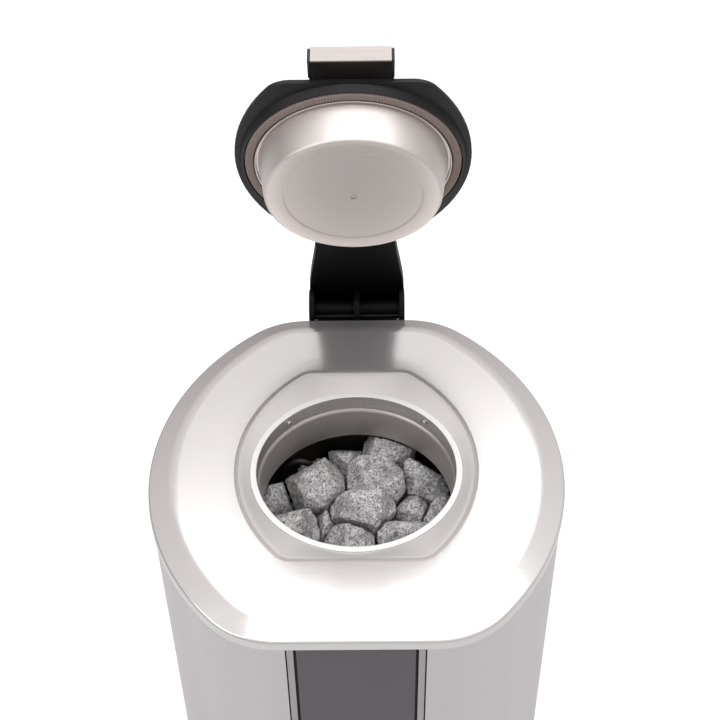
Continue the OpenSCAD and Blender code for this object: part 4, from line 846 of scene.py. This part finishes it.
@dataclass
class TopPlate:
    """The pressed top plate and the ring, sleeve and screws of the neck in it, in millimetres."""

    sizes: Sizes = SIZES
    lip_soft: float = 3.0
    bevel_soft: float = 7.0
    seat_soft: float = 6.0
    fold_steps: int = 6
    bevel_steps: int = 8
    floor_drop: float = 1.0
    floor_under: float = 2.0
    seat_band: float = 0.3
    gap: float = 0.3
    ledge_soft: float = 0.8
    ledge_t: float = 2.7
    painted_highlight_band: float = 1.0
    ring_h: float = 30.0
    step_depth: float = 20.4
    step_w: float = 3.1
    step_fall: float = 3.6
    step_soft: float = 2.0
    sleeve_soft: float = 0.5
    screws: Dressed = Dressed("neck_screws", "neck_screw_heads", Finish.SCREW, "screw_steel", 0.7, steps=3)

    def build(self) -> None:
        """Builds the plate and the neck."""
        self.plate()
        self.ring()
        self.sleeve()
        self.screws.build()

    def plate(self) -> None:
        """Presses a sheet into a lip, a soft bevel, a nearly level top and the dished seat of the lid."""
        s = self.sizes
        edge_z = s.plate_z - s.bevel_drop
        seat_z, floor_z = s.rim_z + s.fold_rise, s.rim_z - self.floor_drop
        out, within = s.hole_r + s.ledge_w + self.gap, s.hole_r + s.sheet_t + self.gap
        bm = bmesh.new()
        skin(bm, [BODY_PLAN.loop(bm, edge_z - s.lip_h), BODY_PLAN.loop(bm, edge_z),
                  BODY_PLAN.inset(s.bevel_w).loop(bm, s.plate_z), SEAT_PLAN.loop(bm, seat_z),
                  SEAT_PLAN.circle(bm, out, floor_z), SEAT_PLAN.circle(bm, out, floor_z - self.floor_under),
                  SEAT_PLAN.circle(bm, within, floor_z - self.floor_under)])
        # the seat's own finish is given before the folds, so that its border stays even
        for face in bm.faces:
            off_seat = abs(face.calc_center_median().z - (seat_z + floor_z) / 2)
            face.material_index = int(off_seat < self.seat_band)
        fold(bm, edge_z, self.lip_soft, self.fold_steps)
        fold(bm, s.plate_z, self.bevel_soft, self.bevel_steps)
        fold(bm, seat_z, self.seat_soft, self.fold_steps)
        piece = as_sheet(in_metres(bm), "top_plate_sheet", Finish.PLATE, "top_plate")
        piece.data.materials.append(material_of(Finish.SEAT))

    def ring(self) -> None:
        """Turns the ledge on which the gasket lies, with the tube under it."""
        s = self.sizes
        out, back = s.hole_r + s.ledge_w, s.hole_r + s.sheet_t
        foot, under = s.rim_z - self.ring_h, s.rim_z - self.ledge_t
        bm = turned(rounded([(s.hole_r, s.rim_z, self.ledge_soft), (s.hole_r, foot), (back, foot),
                             (back, under), (out, under), (out, s.rim_z, self.ledge_soft)]))
        piece = as_piece(in_metres(bm), "neck_ledge", Body.STOVE, Finish.LEDGE, "neck_ring")
        piece.data.materials.append(material_of(Finish.TUBE))
        # its top millimetre takes the nearly white ledge finish, a painted highlight; the tube below keeps
        # its own
        for face in piece.data.polygons:
            face.material_index = int(face.center.z < (s.rim_z - self.painted_highlight_band) * MM)

    def sleeve(self) -> None:
        """Turns the sleeve that hangs in the neck, with a slanting step at its top."""
        s = self.sizes
        top, foot = s.rim_z - self.step_depth, s.rim_z - s.sleeve_depth
        step = top - self.step_fall
        out = s.hole_r - self.gap
        wall = out - self.step_w
        bm = turned(rounded([(wall, step, self.step_soft), (wall, foot), (wall + s.sheet_t, foot),
                             (wall + s.sheet_t, step - s.sheet_t), (out, top - s.sheet_t),
                             (out, top, self.sleeve_soft)]))
        as_piece(in_metres(bm), "neck_sleeve_tube", Body.STOVE, Finish.SLEEVE, "neck_sleeve")


@dataclass
class Casing:
    """The casing's sheet, open in front behind the panel and at the back behind the cover."""

    sizes: Sizes = SIZES
    within_lip: float = 1.8
    under_edge: float = 3.6
    slot_half_w: float = 77.4
    slot_top: float = 777.3
    cover_half_w: float = 50.0
    cover_low: float = 100.0
    cover_high: float = 230.0

    def build(self) -> None:
        """Skins the plan up to the top plate and cuts both windows."""
        s = self.sizes
        plan = BODY_PLAN.inset(self.within_lip)
        bm = bmesh.new()
        skin(bm, [plan.loop(bm, s.casing_z), plan.loop(bm, s.plate_z - s.bevel_drop - self.under_edge)])
        cut_window(bm, self.slot_half_w, s.panel_z, self.slot_top, -1)
        cut_window(bm, self.cover_half_w, self.cover_low, self.cover_high, 1)
        as_sheet(in_metres(bm), "casing_sheet", Finish.CASING, "casing")


@dataclass
class Stones:
    """The split stones that show: each solid of the top layer gets flaked corners and a rough skin.

    Args:
        voxel_mm: size of the skin's faces.
        wear_mm: how deep the wear goes.
        wear_share: how much of it comes from each of the two reliefs.
        broad_mm, broad_octaves: size of the hollows of the broad relief, and its layers.
        fine_mm, fine_fractal: the same for the fine relief: its increment, lacunarity and octaves.
        splits: flakes struck off a stone.
        split_depth: least and most distance from the middle at which, as a share of the stone's reach.
        seed_step, seed_start: make a stone's own seed from its number.
        apart_mm: moves each stone's relief along, so that no two are alike.
    """

    voxel_mm: float = 2.2
    wear_mm: float = 2.1
    wear_share: float = 0.6
    broad_mm: float = 22
    broad_octaves: int = 3
    fine_mm: float = 7
    fine_fractal: tuple[float, float, int] = (0.6, 2.2, 4)
    splits: int = 4
    split_depth: tuple[float, float] = (0.82, 0.91)
    seed_step: int = 7
    seed_start: int = 3
    apart_mm: float = 37

    def build(self) -> None:
        """Shapes every stone of the top layer and joins them in one piece."""
        layer, rough = cad_copy("stones_top"), bmesh.new()
        for number, faces in enumerate(self.islands(layer)):
            stone = self.blank(faces)
            self.split(stone, number)
            self.weather(stone, number, rough)
        layer.free()
        as_piece(rough, "granite_stones", Body.STOVE, Finish.GRANITE, "stones_top", sharp_deg=80)

    def islands(self, bm: BMesh) -> list[list[BMFace]]:
        """Finds the separate stones, always in the same order.

        Args:
            bm: the layer.

        Returns:
            The faces of each stone.
        """
        left = set(bm.faces)
        groups = []
        for first in bm.faces:
            if first not in left:
                continue
            left.remove(first)
            stack, group = [first], []
            while stack:
                face = stack.pop()
                group.append(face)
                for other in (f for edge in face.edges for f in edge.link_faces):
                    if other in left:
                        left.remove(other)
                        stack.append(other)
            groups.append(group)
        return groups

    def blank(self, faces: Sequence[BMFace]) -> BMesh:
        """Copies one stone out of the layer.

        Args:
            faces: the stone's faces.

        Returns:
            A mesh of its own.
        """
        one = bmesh.new()
        seen: dict[BMVert, BMVert] = {}
        for face in faces:
            for vert in face.verts:
                if vert not in seen:
                    seen[vert] = one.verts.new(vert.co)
            one.faces.new([seen[vert] for vert in face.verts])
        return one

    def split(self, bm: BMesh, number: int) -> None:
        """Strikes flakes off the corners of a stone: each is a plane a little inside its furthest point.

        Args:
            bm: the stone.
            number: its number.
        """
        draw = random.Random(number * self.seed_step + self.seed_start)
        middle = sum((v.co for v in bm.verts), Vector()) / len(bm.verts)
        for _ in range(self.splits):
            way = Vector((draw.gauss(0, 1), draw.gauss(0, 1), draw.gauss(0, 1))).normalized()
            reach = max((v.co - middle).dot(way) for v in bm.verts)
            depth = reach * draw.uniform(*self.split_depth)
            cut = bmesh.ops.bisect_plane(bm, geom=bm.verts[:] + bm.edges[:] + bm.faces[:], dist=CAD_CUT_M,
                                         plane_co=middle + way * depth, plane_no=way, clear_outer=True)
            rim = [e for e in cut["geom_cut"] if isinstance(e, BMEdge)]
            bmesh.ops.contextual_create(bm, geom=rim)
        bmesh.ops.recalc_face_normals(bm, faces=bm.faces)

    def weather(self, stone: BMesh, number: int, rough: BMesh) -> None:
        """Remeshes a stone finely, wears its skin and adds it to the rest.

        Args:
            stone: the stone, which is freed.
            number: its number.
            rough: the mesh that gathers the stones.
        """
        block = placed("stone", stone)
        remesh = block.modifiers.new("voxels", "REMESH")
        remesh.mode, remesh.voxel_size = "VOXEL", self.voxel_mm * MM
        fine = bpy.data.meshes.new_from_object(block.evaluated_get(bpy.context.evaluated_depsgraph_get()))
        worn = bmesh.new()
        worn.from_mesh(fine)
        worn.normal_update()
        for vert in worn.verts:
            place = vert.co / MM + Vector((number * self.apart_mm, 0, 0))
            broad = noise.turbulence(place / self.broad_mm, self.broad_octaves, True)
            grain = noise.fractal(place / self.fine_mm, *self.fine_fractal)
            wear = self.wear_mm * self.wear_share * (broad + 1 - grain)
            vert.co -= vert.normal * max(0.0, wear) * MM
        worn.to_mesh(fine)
        worn.free()
        rough.from_mesh(fine)
        coarse = block.data
        bpy.data.objects.remove(block)
        bpy.data.meshes.remove(coarse)
        bpy.data.meshes.remove(fine)


@dataclass
class Lid:
    """The lid's cast shell, gasket, pan and handle, and the arm of its hinge, in millimetres."""

    sizes: Sizes = SIZES
    gasket_r: float = 128.0
    gasket_w: float = 10.2
    gasket_h: float = 13.1
    gasket_soft: float = 3.0
    gasket_rest: float = 0.3
    gasket_arc: int = 6
    gasket_steps: int = 220
    pan_depth: float = 45.7
    pan_t: float = 1.2
    pan_rim_r: float = 116.6
    pan_edge_t: float = 1.5
    pan_groove_w: float = 3.2
    pan_groove_d: float = 4.0
    pan_floor_r: float = 104.2
    pan_floor_soft: float = 5.0
    pan_inner_soft: float = 4.0
    pan_steps: int = 200
    arc_steps: int = 5
    roll_soft: float = 0.6
    press_soft: float = 0.8
    flange_z: float = 13.2
    flange_w: float = 4.8
    emboss_r: float = 82.0
    emboss_h: float = 0.8
    emboss_w: float = 1.2
    shell: Dressed = Dressed("lid_shell", "lid_casting", Finish.LID, "lid_paint", 0.9, Body.LID,
                             over_deg=50, sharp_deg=45)
    fittings: tuple[Dressed, ...] = (
        Dressed("pan_screw", "pan_screw_head", Finish.SCREW, "screw_steel", 0.4, Body.LID),
        Dressed("handle_bar", "handle_channel", Finish.HANDLE, "plate_steel", 0.8, Body.LID, steps=3),
        Dressed("handle_caps", "handle_end_caps", Finish.BLACK, "black_plastic", 0.8, Body.LID, steps=3),
        Dressed("handle_screws", "handle_screw_heads", Finish.SCREW, "screw_steel", 0.6, Body.LID, steps=3),
        Dressed("hinge_arm", "hinge_arm_casting", Finish.HINGE, "hinge_paint", 1.0, Body.LID),
        Dressed("arm_screws", "arm_screw_heads", Finish.SCREW, "screw_steel", 0.6, Body.LID),
    )

    def build(self) -> None:
        """Builds the lid's pieces at the open stop."""
        self.shell.build()
        self.gasket()
        self.pan()
        for item in self.fittings:
            item.build()

    def gasket(self) -> None:
        """Turns a square rope with round corners in its seat."""
        low, inner, out = self.sizes.rim_z + self.gasket_rest, self.gasket_r - self.gasket_w, self.gasket_r
        high = low + self.gasket_h
        bm = turned(rounded([(inner, low, self.gasket_soft), (inner, high), (out, high),
                             (out, low, self.gasket_soft)], self.gasket_arc), self.gasket_steps)
        polar_uv(bm)
        as_piece(in_metres(opened(bm)), "lid_rope_gasket", Body.LID, Finish.FIBRE, "lid_gasket",
                 sharp_deg=60)

    def pan(self) -> None:
        """Spins a dish: a pressed circle, a groove inside its rolled edge, a flange behind the gasket."""
        rim, out, t = self.sizes.rim_z, self.pan_rim_r, self.pan_t
        floor, flange = rim - self.pan_depth, rim + self.flange_z
        edge = out - self.pan_edge_t
        wall = edge - self.pan_groove_w
        roof = rim + self.pan_groove_d
        raised, inner = floor + self.emboss_h, self.emboss_r - self.emboss_w
        press, roll = self.press_soft, self.roll_soft
        profile = rounded([
            (0.0, raised), (inner, raised, press), (self.emboss_r, floor, press),
            (self.pan_floor_r, floor, self.pan_floor_soft), (wall, rim, roll), (wall, roof, press),
            (edge, roof, press), (edge, rim, roll), (out, rim, roll), (out, flange),
            (out - self.flange_w, flange), (out - self.flange_w, flange - t), (edge, flange - t),
            (edge, roof + t), (wall - t, roof + t), (wall - t, rim),
            (self.pan_floor_r - t, floor + t, self.pan_inner_soft), (self.emboss_r, floor + t),
            (inner, raised + t), (0.0, raised + t)], self.arc_steps)
        bm = opened(turned(profile, self.pan_steps, closed=False))
        as_piece(in_metres(bm), "lid_spun_pan", Body.LID, Finish.PAN, "lid_pan", sharp_deg=55)


@dataclass
class Fittings:
    """Everything else: nodes with softer edges, and nodes out of sight that only get a finish."""

    dressed: tuple[Dressed, ...] = (
        Dressed("front_panel", "front_panel_sheet", Finish.PANEL, "panel_paint", 0.5),
        Dressed("left_trim", "left_trim_strip", Finish.TRIM, "plate_steel", 0.6),
        Dressed("right_trim", "right_trim_strip", Finish.TRIM, "plate_steel", 0.6),
        # the carrier is black so that the gaps round the raised panel show dark: a painted shade
        Dressed("panel_carrier", "panel_backing", Finish.DARK, "dark_paint", 0.4),
        Dressed("plinth", "plinth_skirt", Finish.DARK, "dark_paint", 0.5),
        Dressed("hinge_bracket", "hinge_bracket_casting", Finish.HINGE, "hinge_paint", 1.0),
        Dressed("bracket_screws", "bracket_bolt_heads", Finish.SCREW, "screw_steel", 0.6),
        Dressed("hinge_shaft", "hinge_pin", Finish.SCREW, "screw_steel", 0.5),
        Dressed("stop_pins", "lid_stop_pins", Finish.SCREW, "screw_steel", 0.3),
        Dressed("service_cover", "rear_cover", Finish.CASING, "casing_steel", 0.4),
        Dressed("cover_screws", "cover_screw_heads", Finish.SCREW, "screw_steel", 0.6),
        Dressed("cable_gland", "inlet_gland", Finish.BLACK, "black_plastic", 0.8),
        Dressed("heating_elements", "element_tubes", Finish.ELEMENT, "element_steel", 0),
        Dressed("feet", "levelling_feet", Finish.RUBBER, "foot_rubber", 1.5),
        Dressed("thermostat_knob", "knob_cap", Finish.BLACK, "black_plastic", 0.4, Body.KNOB),
        Dressed("main_switch", "switch_frame", Finish.BLACK, "black_plastic", 0.5),
        Dressed("switch_rocker", "switch_paddle", Finish.BLACK, "black_plastic", 0.5, Body.ROCKER),
        Dressed("reset_button", "reset_plunger", Finish.RED, "red_plastic", 0.5, Body.RESET),
        Dressed("overheat_limiter", "limiter_body", Finish.PALE, "pale_plastic", 0.6),
    )
    kept: tuple[tuple[Finish, tuple[str, ...]], ...] = (
        (Finish.CHAMBER, ("stone_chamber", "stone_grate")),
        (Finish.GRANITE, ("stones_upper", "stones_lower")),
        (Finish.ZINC, ("heat_shield", "deck_plate", "chamber_legs", "base_pan", "control_chassis",
                       "lid_liner")),
        (Finish.SCREW, ("element_nuts", "foot_nuts", "shaft_clip", "thermostat_spindle", "lid_magnet")),
        (Finish.CERAMIC, ("element_terminals", "base_board")),
        (Finish.WOOL, ("side_insulation", "lid_insulation")),
        (Finish.COPPER, ("sensor_capillary",)),
        (Finish.HINGE, ("hinge_washers",)),
        (Finish.PALE, ("thermostat", "terminal_block", "contactor")),
        (Finish.BLACK, ("gland_nut", "lid_switch")),
    )

    def build(self) -> None:
        """Gives every other node its softened copy or its finish."""
        for item in self.dressed:
            item.build()
        for finish, names in self.kept:
            for name in names:
                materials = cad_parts[name].data.materials
                materials.clear()
                materials.append(material_of(finish))


@dataclass
class Studio:
    """The photograph's camera, a white sweep and plain soft light, in millimetres, radians and watts."""

    frame_px: int = 720
    focal_px: float = 1394.2
    sensor_mm: float = 36.0
    eye: Point = (21.3, -1126.9, 2043.3)
    turn: float = -0.0129
    pitch: float = 0.7612
    roll: float = -0.0178
    sweep_m: float = 14.0
    sweep_tone: str = "#e7e7e7"
    ambient: float = 0.55
    floor_glow: float = 0.55
    mirrored_glow: float = 0.1
    bright_way: Point = (0.25, -0.1, 0.963)
    box_at: Point = (373.0, 505.0, 2800.0)
    box_size: float = 2600.0
    box_turn: float = 0.29
    box_watts: float = 29.0
    fill_at: Point = (-1900.0, -900.0, 2300.0)
    fill_aim: Point = (0.0, 0.0, 700.0)
    fill_size: float = 1800.0
    fill_watts: float = 11.0

    def build(self) -> None:
        """Places the camera, the floor, the world and the lamps."""
        self.camera()
        self.floor()
        self.world()
        # a level panel over the stove, whose back edge ends the white reflection half-way over the plate
        box = self.lamp("soft box", self.box_at, Euler((0, 0, self.box_turn)).to_quaternion(), self.box_size,
                        self.box_watts)
        box.visible_camera = False
        aim = (Vector(self.fill_aim) - Vector(self.fill_at)).to_track_quat("-Z", "Y")
        self.lamp("fill", self.fill_at, aim, self.fill_size, self.fill_watts)

    def camera(self) -> None:
        """Looks down at the stove as the photograph does."""
        flat = Vector((math.sin(self.turn), math.cos(self.turn), 0))
        forward = flat * math.cos(self.pitch) - Vector((0, 0, math.sin(self.pitch)))
        right = Vector((math.cos(self.turn), -math.sin(self.turn), 0))
        up = right.cross(forward)
        level = right * math.cos(self.roll) + up * math.sin(self.roll)
        top = up * math.cos(self.roll) - right * math.sin(self.roll)
        data = bpy.data.cameras.new("photograph")
        data.sensor_width = self.sensor_mm
        data.lens = self.focal_px * self.sensor_mm / self.frame_px
        camera = placed("photograph", data)
        turn = Matrix((level, top, -forward)).transposed().to_4x4()
        camera.matrix_world = Matrix.Translation(Vector(self.eye) * MM) @ turn
        bpy.context.scene.camera = camera

    def floor(self) -> None:
        """Lays a pale floor that shows white and keeps the stove's shadow."""
        bm = bmesh.new()
        bmesh.ops.create_grid(bm, x_segments=1, y_segments=1, size=self.sweep_m)
        sweep = placed("floor", bm)
        material, tree, shader = fresh("white sweep")
        shader.inputs["Base Color"].default_value = linear(self.sweep_tone)
        shader.inputs["Roughness"].default_value = 0.9
        path = add(tree, "LightPath", {}).outputs
        glow = add(tree, "Emission", {"Color": WHITE, "Strength": self.floor_glow})
        both = add(tree, "AddShader", {0: shader.outputs[0], 1: glow.outputs[0]})
        mirrored = add(tree, "Math", {0: path["Is Glossy Ray"], 1: self.mirrored_glow}, operation="MULTIPLY")
        seen = add(tree, "Math", {0: path["Is Camera Ray"], 1: mirrored.outputs[0]}, operation="MAXIMUM")
        choice = add(tree, "MixShader", {"Fac": seen.outputs[0], 1: shader.outputs[0], 2: both.outputs[0]})
        output = next(n for n in tree.nodes if n.type == "OUTPUT_MATERIAL")
        tree.links.new(choice.outputs[0], output.inputs["Surface"])
        sweep.data.materials.append(material)

    def world(self) -> None:
        """Makes a white surround whose reflection falls off to grey away from its bright side."""
        world = bpy.data.worlds.new("studio")
        world.use_nodes = True
        tree = world.node_tree
        path = add(tree, "LightPath", {}).outputs
        way = add(tree, "TexCoord", {}).outputs["Generated"]
        lean = add(tree, "VectorMath", {0: way, 1: self.bright_way}, operation="DOT_PRODUCT")
        share = add(tree, "MapRange", {"Value": lean.outputs["Value"], "From Min": -1.0, "From Max": 1.0})
        tone = add(tree, "ValToRGB", {"Fac": share.outputs["Result"]},
                   [(0.10, "#5c5858"), (0.44, "#6f6a69"), (0.47, "#9a9594"), (0.60, "#bdb9b8"),
                    (0.80, "#d9d6d5"), (1.0, "#f4f2f1")])
        mirrored = add(tree, "Background", {"Color": tone.outputs["Color"], "Strength": 1.0})
        even = add(tree, "Background", {"Color": WHITE, "Strength": self.ambient})
        white = add(tree, "Background", {"Color": WHITE, "Strength": 1.0})
        lit = add(tree, "MixShader", {"Fac": path["Is Glossy Ray"], 1: even.outputs[0],
                                      2: mirrored.outputs[0]})
        seen = add(tree, "Math", {0: path["Is Camera Ray"], 1: path["Is Transmission Ray"]},
                   operation="MAXIMUM")
        choice = add(tree, "MixShader", {"Fac": seen.outputs[0], 1: lit.outputs[0], 2: white.outputs[0]})
        output = next(n for n in tree.nodes if n.type == "OUTPUT_WORLD")
        tree.links.new(choice.outputs[0], output.inputs["Surface"])
        bpy.context.scene.world = world

    def lamp(self, name: str, at: Point, turn: Quaternion, size: float, watts: float) -> Object:
        """Places a square soft box.

        Args:
            name: its name.
            at: its middle.
            turn: its turn from facing down.
            size: the length of its side.
            watts: its power.

        Returns:
            The lamp.
        """
        data = bpy.data.lights.new(name, "AREA")
        data.shape, data.size, data.energy = "SQUARE", size * MM, watts
        lamp = placed(name, data)
        lamp.location = Vector(at) * MM
        lamp.rotation_mode = "QUATERNION"
        lamp.rotation_quaternion = turn
        return lamp


def main() -> None:
    """Builds the scene piece by piece."""
    logging.basicConfig(level=logging.INFO, format="%(name)s %(message)s")
    bpy.context.scene.view_settings.view_transform = "Standard"
    for part in (Studio(), TopPlate(), Casing(), Stones(), Lid(), Fittings()):
        part.build()


if __name__ == "__main__":
    main()
